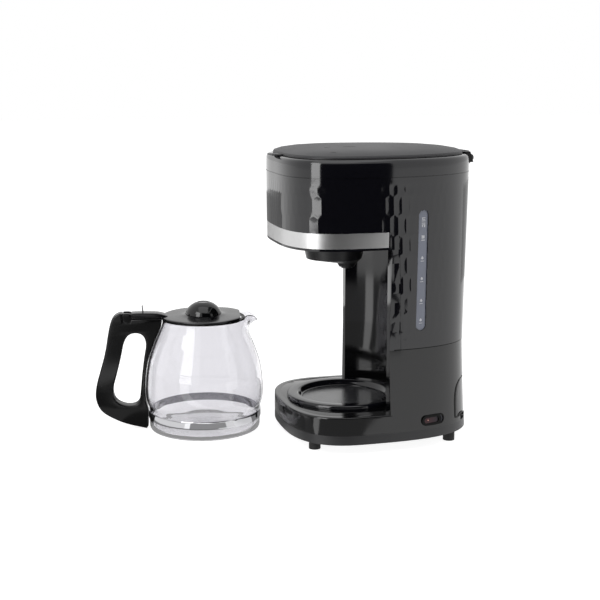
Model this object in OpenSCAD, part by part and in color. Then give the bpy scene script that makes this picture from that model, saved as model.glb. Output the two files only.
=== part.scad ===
// Drip coffee maker with a glass carafe. Millimetres, +Z up.
// The origin is on the counter, under the axis of the warming plate.
// -Y is the front, where the carafe goes in, and +X is the user's right.

/* [Heights] */
// Height of the feet under the bottom cover
foot_h = 12; // [8:1:16]
// Height of the seam between the bottom cover and the lower housing
cover_seam_z = 22; // [20:1:24]
// Top face of the base, around the warming plate
deck_z = 42; // [40:1:46]
// Seam between lower and upper housing, at the narrow waist
waist_z = 112; // [100:1:125]
// Underside of the brewing head
head_z = 222; // [218:1:228]
// Rise of the steel band over the underside of the head
band_rise = 2.5; // [2.5:0.5:8]
// Width of the steel band from edge to edge
band_h = 16.3; // [12:0.1:20]
// Seam between the upper housing and the top collar
collar_z = 298; // [292:1:304]
// Height of the top collar
collar_h = 19; // [17:1:22]
// Rise of the lid dome over its rim
lid_dome_h = 10.5; // [7:0.5:14]

/* [Body plan] */
// Half width of the body at the waist
waist_half_w = 86; // [82:1:90]
// Half width of the brewing head at the top seam
head_half_w = 95.5; // [92:0.5:98]
// Half width of the base at the counter
base_half_w = 93.5; // [90:0.5:97]
// How far the brewing head reaches in front of the plate axis
head_front = 80.5; // [78:0.5:84]
// How far the base reaches in front of the plate axis
base_front = 74; // [72:0.5:78]
// How far the waist reaches behind the plate axis
waist_rear = 132.5; // [130:0.5:138]
// Extra reach to the rear at the top seam
head_rear_extra = 8; // [5:0.5:10]
// Extra reach to the rear at the counter
base_rear_extra = 4; // [2:0.5:6]
// Thickness of the moulded housings
wall = 2.6; // [2:0.1:3.2]
// Radius of the concave bay that wraps the carafe
bay_r = 81; // [79:0.5:84]
// Front of the two wings of the column
wing_y = 25; // [24:0.5:29]
// Fillet along the top edge of the base
deck_fillet = 6; // [3:0.5:8]

/* [Honeycomb] */
// Distance between columns of cells
cell_pitch = 9.65; // [9:0.05:11]
// Distance between rows of cells
row_pitch = 21.4; // [20:0.1:24]
// Height of the pointed end of a cell
cell_point = 3.2; // [2.6:0.1:3.8]
// Width of the ridge between cells
cell_ridge = 0.2; // [0.1:0.1:0.8]
// Depth of a cell
cell_depth = 0.5; // [0.3:0.1:0.9]
// Width of the bevel round the floor of a cell
cell_bevel = 3.4; // [2.6:0.1:3.6]
// Height of the lowest full row's centre
cell_row_z = 140.4; // [138:0.1:143]

/* [Warming plate] */
// Radius of the warming plate
plate_r = 50; // [46:0.5:51]
// Thickness of the warming plate
plate_t = 1.6; // [1.2:0.1:2]
// Outer radius of the raised ring round the plate
ring_r = 64.2; // [62:0.1:66]
// Height of the raised ring over the base
ring_h = 5.4; // [4:0.1:7]

/* [Brew basket] */
// Radius of the basket at its top
basket_r = 54; // [50:0.5:55]
// Radius of the basket at its bottom
basket_bottom_r = 31; // [28:0.5:34]
// Underside of the basket
basket_z = 196; // [195:0.5:197]
// Offset of the basket axis toward the front
basket_y = -12; // [-13:0.5:-8]
// Wall of the basket
basket_wall = 2.2; // [1.8:0.1:2.6]
// Radius of the drip valve's stem
stem_r = 3.6; // [3.2:0.1:4.2]

/* [Lid] */
// Inset of the lid rim from the collar seam
lid_inset = 8; // [7:0.5:10]
// Thickness of the lid skin
lid_wall = 2.4; // [2:0.1:3]
// Radius of the hinge pins of the machine and of the carafe
pin_r = 1.6; // [1.3:0.1:2]

/* [Carafe] */
// Radius of the carafe at its widest
carafe_r = 67.6; // [64:0.2:69]
// Height of the carafe glass
glass_h = 118; // [114:1:120]
// Radius of the mouth of the glass
mouth_r = 50; // [47:0.5:52]
// Thickness of the glass
glass_t = 2.4; // [2:0.1:3]
// Radius of the glass under the chrome band
band_seat_r = 63.6; // [62:0.2:65]
// Height of the lower edge of the chrome band
carafe_band_z = 14; // [12:0.5:16]
// Height of the chrome band
carafe_band_h = 9; // [8:0.5:12]
// Reach of the handle from the carafe axis
handle_reach = 124; // [118:1:128]
// Thickness of the handle
handle_w = 16; // [13:0.5:18]
// Carafe axis, measured to the right of the machine's axis
carafe_x = -60; // [-66:1:-54]
// Carafe axis, measured behind the machine's axis
carafe_y = -150; // [-158:1:-146]
// Turn of the carafe about its own axis
carafe_turn = 80; // [70:1:90]

/* [Fits] */
// Gap between a moving piece and the piece that carries it
gap = 0.35; // [0.3:0.05:0.5]
// Running clearance round a pin or a stem
run = 0.08; // [0.05:0.01:0.1]

/* [Hidden] */
$fn = 64;
e = 0.01;
loft_n = 64;
lid_z = collar_z + collar_h;
band_z = head_z + band_rise;

// ---- Plan and profile of the body: one hourglass surface for all housings ----
function up_t(z) = max(0, (z - waist_z) / (collar_z - waist_z));
function down_t(z) = max(0, (waist_z - z) / (waist_z - foot_h));
function half_w(z) = waist_half_w + (head_half_w - waist_half_w) * pow(up_t(z), 1.2) + (base_half_w - waist_half_w) * pow(down_t(z), 1.2);
function rear(z) = waist_rear + head_rear_extra * pow(up_t(z), 1.2) + base_rear_extra * pow(down_t(z), 1.2);
function front(z) = z < (deck_z + head_z) / 2 ? base_front : head_front;
function front_n(z) = z < (deck_z + head_z) / 2 ? 2.7 : 3.2;
function rear_n(z) = 2.9 - 0.8 * min(1, up_t(z));
function spow(v, p) = (v < 0 ? -1 : 1) * pow(abs(v), p);
function outline(z, off = 0) = [for (i = [0:loft_n - 1]) let (t = 360 * i / loft_n, n = sin(t) < -e ? front_n(z) : rear_n(z))
  [(half_w(z) - off) * spow(cos(t), 2 / n), sin(t) < 0 ? (front(z) - off) * spow(sin(t), 2 / n) : (rear(z) - off) * spow(sin(t), 2 / n)]];
function lift(p, z) = [for (q = p) [q[0], q[1], z]];

module loft(rings) {
  n = len(rings[0]);
  m = len(rings);
  polyhedron(points = [for (r = rings) each r], faces = concat(
    [[for (i = [0:n - 1]) i]],
    [for (k = [0:m - 2]) for (i = [0:n - 1]) let (j = (i + 1) % n) each [[k * n + i, (k + 1) * n + i, (k + 1) * n + j], [k * n + i, (k + 1) * n + j, k * n + j]]],
    [[for (i = [n - 1:-1:0]) (m - 1) * n + i]]), convexity = 8);
}

// The hourglass body between two heights, inset by off.
module body(z0, z1, off = 0, steps = 4)
  loft([for (k = [0:steps]) let (z = z0 + (z1 - z0) * k / steps) lift(outline(z, off), z)]);

// Plan of the column behind the carafe: straight wing fronts with rounded outer corners.
module column_plan(off = 0) {
  cx = waist_half_w - 3;
  cy = wing_y + 5;
  polygon(concat(
    [for (a = [-90:15:0]) [cx + (14 - off) * cos(a), cy + (5 - off) * sin(a)]],
    [[cx + 14 - off, 160], [-cx - 14 + off, 160]],
    [for (a = [0:15:90]) [-cx - (14 - off) * cos(a), cy - (5 - off) * sin(a)]]));
}
module column(z0, z1, off = 0)
  translate([0, 0, z0]) linear_extrude(z1 - z0) column_plan(off);
module bay_cut(z0, z1, off = 0)
  translate([0, 0, z0]) cylinder(r = bay_r + off, h = z1 - z0, $fn = 96);

// Outer skin of the base in front of the column, with its filleted top edge.
module base_form(z0, off = 0) {
  top = deck_z - (off > 0 ? off : 0);
  f = deck_fillet;
  loft([for (q = [[z0, 0], [top - f, 0], [top - 0.45 * f, 0.15 * f], [top - 0.13 * f, 0.5 * f], [top, f]])
    lift(outline(q[0], off + q[1]), q[0])]);
}

module lower_form(off = 0, z0 = cover_seam_z) {
  base_form(z0, off);
  difference() {
    intersection() { body(z0, waist_z + (off > 0 ? e : 0), off, 5); column(z0 - 1, waist_z + 1, off); }
    bay_cut(deck_z - off, waist_z + 2, off);
  }
}

module upper_form(off = 0) {
  difference() {
    intersection() {
      body(waist_z - (off > 0 ? e : 0), collar_z + (off > 0 ? e : 0), off, 6);
      union() { column(waist_z - 1, head_z + off + 1, off); translate([-150, -150, head_z + off]) cube([300, 350, 120]); }
    }
    bay_cut(waist_z - 2, head_z + off, off);
  }
}

// ---- Places that several pieces share ----
basket_flange = 3.5;
basket_rim_z = basket_z + 6;               // where the basket's wall meets its slanted floor
drip_seat_z = basket_z + 4.4;              // floor of the basket round the valve
spring_top = basket_z + 2;                 // ceiling of the spring chamber
deck_plate = 2.4;
seat_z = collar_z + deck_plate;            // top of the deck plate, where the basket flange seats
basket_top = seat_z + 2.4;
tank_off = wall + 1.5;                     // the tank's skin, inset from the outer surface
tank_wall = 2.2;
tank_z = waist_z + 6;
tank_top = collar_z;
heater_r = 33;
heater_gap = 90;                           // open part of the horseshoe, at the rear
riser_x = -66;
riser_y = 64;
riser_r = 5.4;
hose_x = heater_r * sin(heater_gap / 2);    // both pipes leave the heater's ends straight to the rear
hose_y = 104;
hose_r = 6;
hose_bore = 4;
pipe_end = 40;                             // where the hoses slide over the heater's pipes
valve_y = 3;
valve_z = 190;
hinge_y = rear(collar_z) - 1;
hinge_z = lid_z - 5;
knuckle_r = 4.4;
knuckle_w = 26;
window_y = 61;
window_w = 11.2;
window_z0 = 132;
window_z1 = 263;
plate_z = deck_z - 1;                      // top of the warming plate
screw_y = 92;
screw_x = half_w(deck_z) * pow(1 - pow(screw_y / rear(deck_z), 2.9), 1 / 2.9) - wall - 3.5;  // the rear posts grow out of the side walls
screw_at = [[-58, -22], [58, -22], [-screw_x, screw_y], [screw_x, screw_y]];
foot_at = [[-54, -49], [54, -49], [-62, 105], [62, 105]];

// Outer surface of the side at a place, and the direction it faces.
function side_x(y, z) = half_w(z) * pow(1 - pow(max(0, y) / rear(z), rear_n(z)), 1 / rear_n(z));
function side_y(x, z) = rear(z) * pow(1 - pow(abs(x) / half_w(z), rear_n(z)), 1 / rear_n(z));
function side_turn(y, z) = atan((side_x(y - 1, z) - side_x(y + 1, z)) / 2);
switch_y = 74.5;
switch_z = 31.7;
switch_l = 25;
switch_h = 11.5;
module at_switch() translate([side_x(switch_y, switch_z), switch_y, switch_z]) rotate([0, 0, side_turn(switch_y, switch_z)]) children();
module pill(l, h, t) rotate([90, 0, 90]) linear_extrude(t) { square([l - h, h], center = true); for (s = [-1, 1]) translate([s * (l - h) / 2, 0]) circle(d = h, $fn = 32); }

// Arched panel let into the rear of the lower housing, over the slot where the cord leaves.
panel_half_w = 68;
panel_z0 = 28;
panel_z1 = 70.5;
panel_t = 1.4;
panel_seam = 0.8;
module panel_prism(off = 0) translate([0, 160, 0]) rotate([90, 0, 0]) linear_extrude(70) panel_plan(off);
module panel_plan(off = 0) let (w = panel_half_w + off, z0 = panel_z0 - off, z1 = panel_z1 + off, h = z1 - z0)
  polygon([[-w, z0], [w, z0], [w, z0 + 0.24 * h], [w - 2, z0 + 0.52 * h], [w - 5.3, z0 + 0.8 * h], [w - 9, z0 + 0.94 * h], [w - 14, z1],
    [-w + 14, z1], [-w + 9, z0 + 0.94 * h], [-w + 5.3, z0 + 0.8 * h], [-w + 2, z0 + 0.52 * h], [-w, z0 + 0.24 * h]]);
module panel_shell(off0, off1) difference() { body(cover_seam_z - 2, panel_z1 + 6, off0, 3); body(cover_seam_z - 3, panel_z1 + 7, off1, 3); }
cord_x = 45;
cord_z = 25;

// Long slot of the level window, round at both ends.
module window_prism(off = 0, x0 = 60, x1 = 110)
  translate([x0, window_y, 0]) rotate([90, 0, 90]) linear_extrude(x1 - x0) {
    translate([-window_w / 2 - off, window_z0 + window_w / 2]) square([window_w + 2 * off, window_z1 - window_z0 - window_w]);
    for (z = [window_z0 + window_w / 2, window_z1 - window_w / 2]) translate([0, z]) circle(d = window_w + 2 * off, $fn = 40);
  }

// ---- Honeycomb: elongated hexagonal cells that follow the hourglass surface ----
function half_outline(z) = [for (i = [0:96]) let (t = -90 + 180 * i / 96, n = sin(t) < -e ? front_n(head_z) : rear_n(z))
  [half_w(z) * spow(cos(t), 2 / n), (sin(t) < 0 ? head_front : rear(z)) * spow(sin(t), 2 / n)]];
function run_len(p) = [for (i = 0, s = 0; i < len(p); s = s + (i + 1 < len(p) ? norm(p[i + 1] - p[i]) : 0), i = i + 1) s];
function cell_fade(y) = y < 52 ? 1 : max(0.25, 1 - (y - 52) / 60);
cell_rows = floor((collar_z - 6 - cell_row_z) / row_pitch);

module cell(fade) {
  w = (cell_pitch - cell_ridge) / 2;
  h = row_pitch / 2 - cell_point / 2 - cell_ridge * 0.3;
  d = cell_depth * fade;
  k = (w - cell_bevel) / w;
  // a shallow dish: wide bevels run from a narrow ridge down to a small floor
  translate([0.02, 0, 0]) rotate([0, -90, 0]) linear_extrude(d + 0.02, scale = [1 - cell_bevel * 1.1 / (h + cell_point), k], slices = 1, segments = 6)
    polygon([[-h - cell_point, 0], [-h, -w], [h, -w], [h + cell_point, 0], [h, w], [-h, w]]);
}

module cells()
  for (r = [-1:cell_rows]) let (z = cell_row_z + r * row_pitch, p = half_outline(z), s = run_len(p),
      sx = [for (i = [0:len(p) - 1]) [s[i], p[i][0]]], sy = [for (i = [0:len(p) - 1]) [s[i], p[i][1]]])
    for (k = [0:floor(s[len(s) - 1] / cell_pitch) - 1]) let (u = (k + (r % 2 == 0 ? 0.5 : 0)) * cell_pitch,
        x = lookup(u, sx), y = lookup(u, sy), dx = lookup(u + 2, sx) - lookup(u - 2 < 0 ? 0 : u - 2, sx), dy = lookup(u + 2, sy) - lookup(u - 2 < 0 ? 0 : u - 2, sy),
        turn = x < 3 ? -90 : atan2(-dx, dy), low = z < band_z + band_h + 4)
      if (y < 92 && (!low || y > 24))
        for (side = [-1, 1])
          if ((side > 0 || x > 1) && !(side > 0 && abs(y - window_y) < window_w / 2 + cell_pitch / 2 - 1 && z > window_z0 - 12 && z < window_z1 + 14))
            translate([side * x, y, z]) rotate([0, 0, side > 0 ? turn : 180 - turn]) cell(cell_fade(y));

// ---- Base ----
module bottom_cover() color([0.06, 0.06, 0.065]) difference() {
  body(foot_h, cover_seam_z, 0, 1);
  body(foot_h + wall, cover_seam_z + 1, wall, 1);
  for (p = screw_at) translate([p[0], p[1], foot_h - 1]) { cylinder(r = 1.9, h = 10, $fn = 24); cylinder(r = 4.2, h = 2.3, $fn = 24); }
  for (i = [-3:3]) translate([i * 9 - 1.25, 20, foot_h - 1]) cube([2.5, 36, 10]);
}
module rubber_feet() color([0.08, 0.08, 0.08]) for (p = foot_at) translate([p[0], p[1], 0]) difference() {
  union() { cylinder(r = 6.5, h = foot_h, $fn = 32); }
  translate([0, 0, -1]) cylinder(r = 3, h = 3, $fn = 24);
}
module cover_screws() color([0.6, 0.6, 0.62]) for (p = screw_at) translate([p[0], p[1], foot_h]) {
  difference() { translate([0, 0, -0.9]) cylinder(r = 4, h = 2.2, $fn = 24); translate([-2.6, -0.4, -1]) cube([5.2, 0.8, 1]); translate([-0.4, -2.6, -1]) cube([0.8, 5.2, 1]); }
  cylinder(r = 1.5, h = 16, $fn = 24);
}
module lower_housing() color([0.03, 0.03, 0.035]) difference() {
  union() {
    difference() {
      lower_form(0);
      lower_form(wall, cover_seam_z - 1);
    }
    // posts for the screws of the bottom cover
    for (p = screw_at) translate([p[0], p[1], foot_h + wall]) cylinder(r = 4.5, h = deck_z - wall - foot_h - wall + 0.5, $fn = 32);
    // rails that guide the switch body
  }
  for (p = screw_at) translate([p[0], p[1], foot_h]) cylinder(r = 1.5 + run, h = 20, $fn = 24);
  // opening for the warming plate
  translate([0, 0, deck_z - 10]) cylinder(r = plate_r + 0.4, h = 20, $fn = 96);
  // openings for hose and riser at the seam
  at_switch() translate([-12, 0, 0]) pill(switch_l - 2.4, switch_h - 2.4, 20);
  // rebate and opening for the rear panel, and the slot below it where the cord leaves
  intersection() { panel_prism(0); difference() { body(cover_seam_z - 2, panel_z1 + 6, -3, 3); body(cover_seam_z - 3, panel_z1 + 7, panel_t + 0.3, 3); } }
  panel_prism(-4);
  translate([-panel_half_w + 5, 100, cover_seam_z]) cube([panel_half_w * 2 - 10, 60, panel_z0 - cover_seam_z + 0.5]);
  // spill slots in the front of the base
  for (s = [-1, 1]) translate([s * 24, -base_front - 2, deck_z - 12]) rotate([0, 0, s * 6]) cube([12, 12, 2.2], center = true);
}

module rear_panel() color([0.05, 0.05, 0.055]) {
  intersection() { panel_prism(-panel_seam); panel_shell(0.3, panel_t + 0.3); }
}

// ---- Brewing head ----
module upper_housing() color([0.03, 0.03, 0.035]) difference() {
  upper_form(0);
  upper_form(wall);
  // seat of the steel band, from wing to wing
  band_zone(band_z - 0.05, band_h + 0.1) difference() { body(band_z - 1, band_z + band_h + 1, -3, 1); body(band_z - 2, band_z + band_h + 2, 1, 1); }
  // basket opening in the floor of the head
  translate([0, basket_y, head_z - 1]) cylinder(r = basket_r_at(head_z + wall) + 1.4, h = wall + 2, $fn = 64);
  window_prism(0.05);
  intersection() {
    cells();
    translate([-150, -150, 121]) cube([300, 350, collar_z - 6 - 121]);
  }
}
function basket_r_at(z) = basket_bottom_r + (basket_r - basket_bottom_r) * (z - basket_rim_z) / (basket_top - basket_rim_z);
band_end_y = 21;
module band_zone(z, h) intersection() { children(); translate([-150, -150, z]) cube([300, 150 + band_end_y, h]); }
module steel_band() color([0.72, 0.72, 0.74]) band_zone(band_z, band_h) difference() { body(band_z, band_z + band_h, 0, 1); body(band_z - 1, band_z + band_h + 1, 1, 1); }

// ---- Top ----
function collar_ring(z, off) = lift(outline(collar_z, off), z);
module collar_form() loft([collar_ring(collar_z, 0), collar_ring(collar_z + collar_h * 0.35, 0.5), collar_ring(collar_z + collar_h * 0.7, 2.4), collar_ring(collar_z + collar_h * 0.9, 5), collar_ring(lid_z, lid_inset)]);
module top_collar() color([0.04, 0.04, 0.045]) {
  difference() {
    collar_form();
    difference() { loft([collar_ring(seat_z, lid_inset), collar_ring(lid_z + 1, lid_inset + 1.5)]); }
    translate([0, basket_y, collar_z - 1]) cylinder(r = basket_r + 0.8, h = 10, $fn = 64);
    tank_mouth();
    translate([-knuckle_w / 2 - 9, hinge_y - knuckle_r - 1, hinge_z - knuckle_r - 1.5]) cube([knuckle_w + 18, 30, 30]);
    translate([riser_x, riser_y, collar_z - 1]) cylinder(r = riser_r + 0.05, h = 10, $fn = 32);
  }
  // ears that hold the hinge pin
  for (s = [-1, 1]) translate([s * (knuckle_w / 2 + 4.5), 0, 0]) difference() {
    union() {
      translate([-3.9, hinge_y, hinge_z]) rotate([0, 90, 0]) cylinder(r = knuckle_r, h = 7.8, $fn = 32);
      translate([-3.9, hinge_y - knuckle_r - 3, hinge_z - knuckle_r - 2]) cube([7.8, knuckle_r + 3, knuckle_r * 2 + 1]);
    }
    translate([s > 0 ? -5 : -2.5, hinge_y, hinge_z]) rotate([0, 90, 0]) cylinder(r = pin_r, h = 7.5, $fn = 32);
  }
}
module tank_mouth() intersection() {
  translate([-60, 62, collar_z - 1]) cube([120, 62, 20]);
  tank_form(tank_off + tank_wall + 1.5, collar_z - 2, lid_z + 2);
}
module lid_form(off = 0, z0 = lid_z + gap) {
  o = lid_inset - 1;
  loft([for (q = [[0, 0], [1.6, 0], [3.2, 1], [5.4, 7], [7.6, 20], [9.4, 40], [lid_dome_h, 66]])
    lift(outline(collar_z, o + q[1] + off), z0 + max(q[0] * lid_dome_h / 10.5 - off, q[0] * e))]);
}
module top_lid() color([0.36, 0.36, 0.38]) difference() {
  union() {
    difference() {
      lid_form(0);
      translate([0, 0, -e]) lid_form(lid_wall);
    }
    // knuckle and the arm that joins it to the lid
    translate([-knuckle_w / 2, hinge_y, hinge_z]) rotate([0, 90, 0]) cylinder(r = knuckle_r, h = knuckle_w, $fn = 32);
    translate([-knuckle_w / 2, hinge_y - 3.4, hinge_z]) cube([knuckle_w, 5.5, lid_z + gap + 2 - hinge_z]);
    translate([-knuckle_w / 2, rear(collar_z) - lid_inset - 6, lid_z + gap]) cube([knuckle_w, 13.5, 2]);
  }
  translate([-40, hinge_y, hinge_z]) rotate([0, 90, 0]) cylinder(r = pin_r + run, h = 80, $fn = 32);
}
module lid_tab() color([0.03, 0.03, 0.03]) {
  // thin tongue that stands out from the lid's front edge
  translate([-11, -head_front - 5, lid_z + gap]) cube([22, 5 + lid_inset - 1 - 0.02, 1.4]);
}
module lid_hinge_pin() color([0.7, 0.7, 0.72]) translate([-knuckle_w / 2 - 6.5, hinge_y, hinge_z]) rotate([0, 90, 0]) cylinder(r = pin_r - 0.01, h = knuckle_w + 13, $fn = 32);
module shower_plate() color([0.12, 0.12, 0.13]) translate([0, basket_y, 0]) difference() {
  intersection() {
    difference() { translate([0, 0, lid_z - 8]) cylinder(r = 46, h = 30, $fn = 64); translate([0, 0, lid_z - 6]) cylinder(r = 44, h = 40, $fn = 64); }
    union() { translate([0, -basket_y, -0.05]) lid_form(lid_wall); translate([0, 0, lid_z - 10]) cylinder(r = 50, h = 10 + gap + 0.1); }
  }
  for (r = [0:3]) for (i = [0:max(0, r * 6 - 1)]) rotate([0, 0, i * 360 / max(1, r * 6)]) translate([r * 10, 0, lid_z - 9]) cylinder(r = 1.5, h = 5, $fn = 16);
}

// ---- Water side ----
module riser_channel(r) translate([riser_x, riser_y, 0]) cylinder(r = r, h = 400, $fn = 32);
module tank_form(off, z0, z1) difference() {
  intersection() { body(z0, z1, off, 4); column(z0 - 1, z1 + 1, off); }
  bay_cut(z0 - 1, z1 + 1, off + 0.5);
  riser_channel(riser_r + 2 + (off - tank_off));
  translate([-150, -150, z0 - 1]) cube([150 + riser_x + riser_r + 2 + (off - tank_off), 150 + riser_y + (off - tank_off), 400]);
}
module water_tank() color([0.75, 0.78, 0.8, 0.6]) difference() {
  union() { tank_form(tank_off, tank_z, tank_top); translate([hose_x, hose_y, tank_z - 12]) cylinder(r = hose_bore - 0.05, h = 13, $fn = 32); }
  tank_form(tank_off + tank_wall, tank_z + tank_wall, tank_top + 5);
  translate([hose_x, hose_y, tank_z - 14]) cylinder(r = hose_bore - 1.3, h = 20, $fn = 32);
}
module level_window() color([0.5, 0.55, 0.62]) intersection() {
  window_prism(0);
  difference() { body(window_z0 - 10, window_z1 + 10, 0.7, 4); body(window_z0 - 11, window_z1 + 11, tank_off - 0.35, 4); }
}
heater_pipe_z = plate_z - plate_t - 7.5;
module riser_path(r, ball) {
  translate([riser_x, riser_y, heater_pipe_z]) { cylinder(r = r, h = seat_z + 4 - heater_pipe_z, $fn = 32); sphere(r = ball, $fn = 32); }
  translate([riser_x, riser_y, heater_pipe_z]) rotate([0, 90, 0]) cylinder(r = r, h = -hose_x - riser_x, $fn = 32);
  translate([-hose_x, riser_y, heater_pipe_z]) sphere(r = ball, $fn = 32);
  translate([-hose_x, pipe_end, heater_pipe_z]) rotate([-90, 0, 0]) cylinder(r = r, h = riser_y - pipe_end, $fn = 32);
}
module riser_tube() color([0.85, 0.85, 0.82]) difference() {
  riser_path(riser_r, riser_r + 0.4);
  riser_path(hose_bore, hose_bore + 0.3);
  translate([riser_x, riser_y, seat_z]) cylinder(r = hose_bore, h = 10, $fn = 32);
  translate([-hose_x, pipe_end - 1, heater_pipe_z]) rotate([-90, 0, 0]) cylinder(r = hose_bore, h = 10, $fn = 32);
}
module outlet_spout() color([0.1, 0.1, 0.1]) difference() {
  union() {
    translate([riser_x, riser_y, seat_z]) cylinder(r = riser_r + 2, h = 9, $fn = 32);
    translate([riser_x, riser_y, seat_z + 5.5]) rotate([0, 0, -50]) translate([0, -3, -3.5]) cube([26, 6, 7]);
  }
  translate([riser_x, riser_y, seat_z - 1]) cylinder(r = riser_r + 0.05, h = 6, $fn = 32);
  translate([riser_x, riser_y, seat_z + 5.5]) rotate([0, 0, -50]) translate([0, -1.6, -1.6]) cube([30, 3.2, 3.6]);
}
module inlet_hose() color([0.85, 0.85, 0.82]) difference() {
  union() { translate([hose_x, hose_y, heater_pipe_z]) cylinder(r = hose_r, h = tank_z - 2 - heater_pipe_z, $fn = 32);
    translate([hose_x, hose_y, heater_pipe_z]) sphere(r = hose_r, $fn = 32);
    translate([hose_x, hose_y, heater_pipe_z]) rotate([90, 0, 0]) cylinder(r = hose_r, h = hose_y - pipe_end, $fn = 32); }
  translate([hose_x, hose_y, heater_pipe_z]) cylinder(r = hose_bore, h = 100, $fn = 32);
  translate([hose_x, hose_y, heater_pipe_z]) rotate([90, 0, 0]) cylinder(r = hose_bore, h = 80, $fn = 32);
}
module check_valve() color([0.9, 0.5, 0.2]) translate([hose_x, hose_y, 80]) difference() { cylinder(r = hose_bore - 0.02, h = 10, $fn = 32); translate([0, 0, -1]) cylinder(r = 2, h = 12, $fn = 24); }
module hose_clips() color([0.6, 0.6, 0.62]) for (cz = [tank_z - 9, 60]) translate([hose_x, hose_y, cz]) difference() { cylinder(r = hose_r + 1, h = 5, $fn = 32); translate([0, 0, -1]) cylinder(r = hose_r + 0.02, h = 7, $fn = 32); }

// ---- Basket and drip valve ----
module basket_hopper(off, rise) hull() {
  translate([0, basket_y, basket_rim_z + off]) cylinder(r = basket_bottom_r - off, h = e, $fn = 48);
  translate([0, valve_y, basket_z + rise]) cylinder(r = 11.2 - off, h = e, $fn = 48);
}
module brew_basket() color([0.16, 0.16, 0.17]) difference() {
  union() {
    translate([0, basket_y, basket_rim_z]) cylinder(r1 = basket_bottom_r, r2 = basket_r, h = basket_top - basket_rim_z, $fn = 64);
    translate([0, basket_y, seat_z + gap]) cylinder(r = basket_r + basket_flange, h = basket_top - seat_z - gap, $fn = 64);
    basket_hopper(0, 0);
    translate([0, valve_y, basket_z - 4.4]) cylinder(r1 = 8.6, r2 = 11.2, h = 4.4 + e, $fn = 48);
  }
  translate([0, basket_y, basket_rim_z + basket_wall]) cylinder(r1 = basket_bottom_r - basket_wall, r2 = basket_r - basket_wall, h = basket_top - basket_rim_z - basket_wall + e, $fn = 64);
  basket_hopper(basket_wall, drip_seat_z - basket_z);
  translate([0, valve_y, basket_z - 10]) cylinder(r = stem_r + run, h = 30, $fn = 40);
  translate([0, valve_y, basket_z - 6]) cylinder(r = stem_r + 3.2, h = spring_top - basket_z + 6, $fn = 40);
}
module valve_stem() color([0.85, 0.85, 0.85]) translate([0, valve_y, 0]) {
  translate([0, 0, valve_z]) cylinder(r = stem_r, h = drip_seat_z + gap + 3 - valve_z, $fn = 40);
  translate([0, 0, valve_z]) cylinder(r = stem_r + 2.6, h = 1.5, $fn = 40);
  translate([0, 0, drip_seat_z + gap + 1]) cylinder(r = stem_r + 3, h = 2, $fn = 40);
}
module valve_seal() color([0.7, 0.3, 0.2]) translate([0, valve_y, drip_seat_z + gap]) difference() { cylinder(r = stem_r + 2.8, h = 1, $fn = 40); translate([0, 0, -1]) cylinder(r = stem_r, h = 3, $fn = 40); }
module valve_spring() color([0.75, 0.75, 0.78]) translate([0, valve_y, valve_z + 1.5]) linear_extrude(spring_top - valve_z - 1.5, twist = -360 * 3, slices = 30, segments = 18)
  polygon(concat([for (a = [0:20:160]) (stem_r + 2.2) * [cos(a), sin(a)]], [for (a = [160:-20:0]) (stem_r + 0.9) * [cos(a), sin(a)]]));

// ---- Hot side ----
module warming_plate() color([0.12, 0.12, 0.125]) {
  difference() { translate([0, 0, plate_z - plate_t]) cylinder(r = plate_r, h = plate_t, $fn = 96); translate([0, 0, plate_z - 0.4]) difference() { cylinder(r = plate_r - 3, h = 1, $fn = 64); translate([0, 0, -1]) cylinder(r = plate_r - 3.6, h = 3, $fn = 64); } }
}
module plate_ring() color([0.05, 0.05, 0.055]) rotate_extrude($fn = 96) polygon([[plate_r - 3, plate_z], [plate_r, plate_z], [plate_r, deck_z], [ring_r + 0.6, deck_z], [ring_r, deck_z + ring_h * 0.75], [ring_r - 1.5, deck_z + ring_h], [plate_r + 3, deck_z + ring_h], [plate_r + 1.4, deck_z + ring_h - 1], [plate_r - 1.6, plate_z + 0.9], [plate_r - 3, plate_z + 0.7]]);
module heater_tube() color([0.75, 0.75, 0.76]) translate([0, 0, plate_z - plate_t]) {
  for (s = [-1, 1]) translate([s * hose_x, hose_x - 3, -7.5]) rotate([-90, 0, 0]) cylinder(r = hose_bore - 0.05, h = pipe_end - hose_x + 3 + 6, $fn = 32);
  rotate([0, 0, 90 + heater_gap / 2]) rotate_extrude(angle = 360 - heater_gap, $fn = 64) translate([heater_r, 0]) polygon([[-7, 0], [7, 0], [7, -3], [5, -9], [3, -12], [-3, -12], [-5, -9], [-7, -3]]);
}
module heater_bracket() color([0.65, 0.65, 0.67]) difference() {
  translate([-48, -8, plate_z - plate_t - 12 - 1.5]) cube([96, 16, 1.5]);
  for (s = [-1, 1]) translate([s * 44, 0, 10]) cylinder(r = 2, h = 30, $fn = 24);
}
module thermostat() color([0.85, 0.82, 0.7]) translate([0, 0, plate_z - plate_t - 13.5]) { translate([0, 0, -7]) cylinder(r = 8, h = 7, $fn = 32); for (s = [-1, 1]) translate([s * 9 - 2, -3, -5]) cube([4, 6, 0.8]); }
module thermal_fuse() color([0.9, 0.9, 0.88]) for (s = [-1, 1]) translate([s * 26, 8, plate_z - plate_t - 13.5 - 2.2]) rotate([90, 0, 0]) cylinder(r = 2.2, h = 16, $fn = 24);
module terminal_block() color([0.85, 0.85, 0.83]) translate([-14, 78, foot_h + wall]) difference() { translate([-26, 0, 0]) cube([30, 14, 12]); for (i = [0:2]) translate([-22 + i * 9, 4, 6]) cube([5, 12, 4]); }
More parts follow.
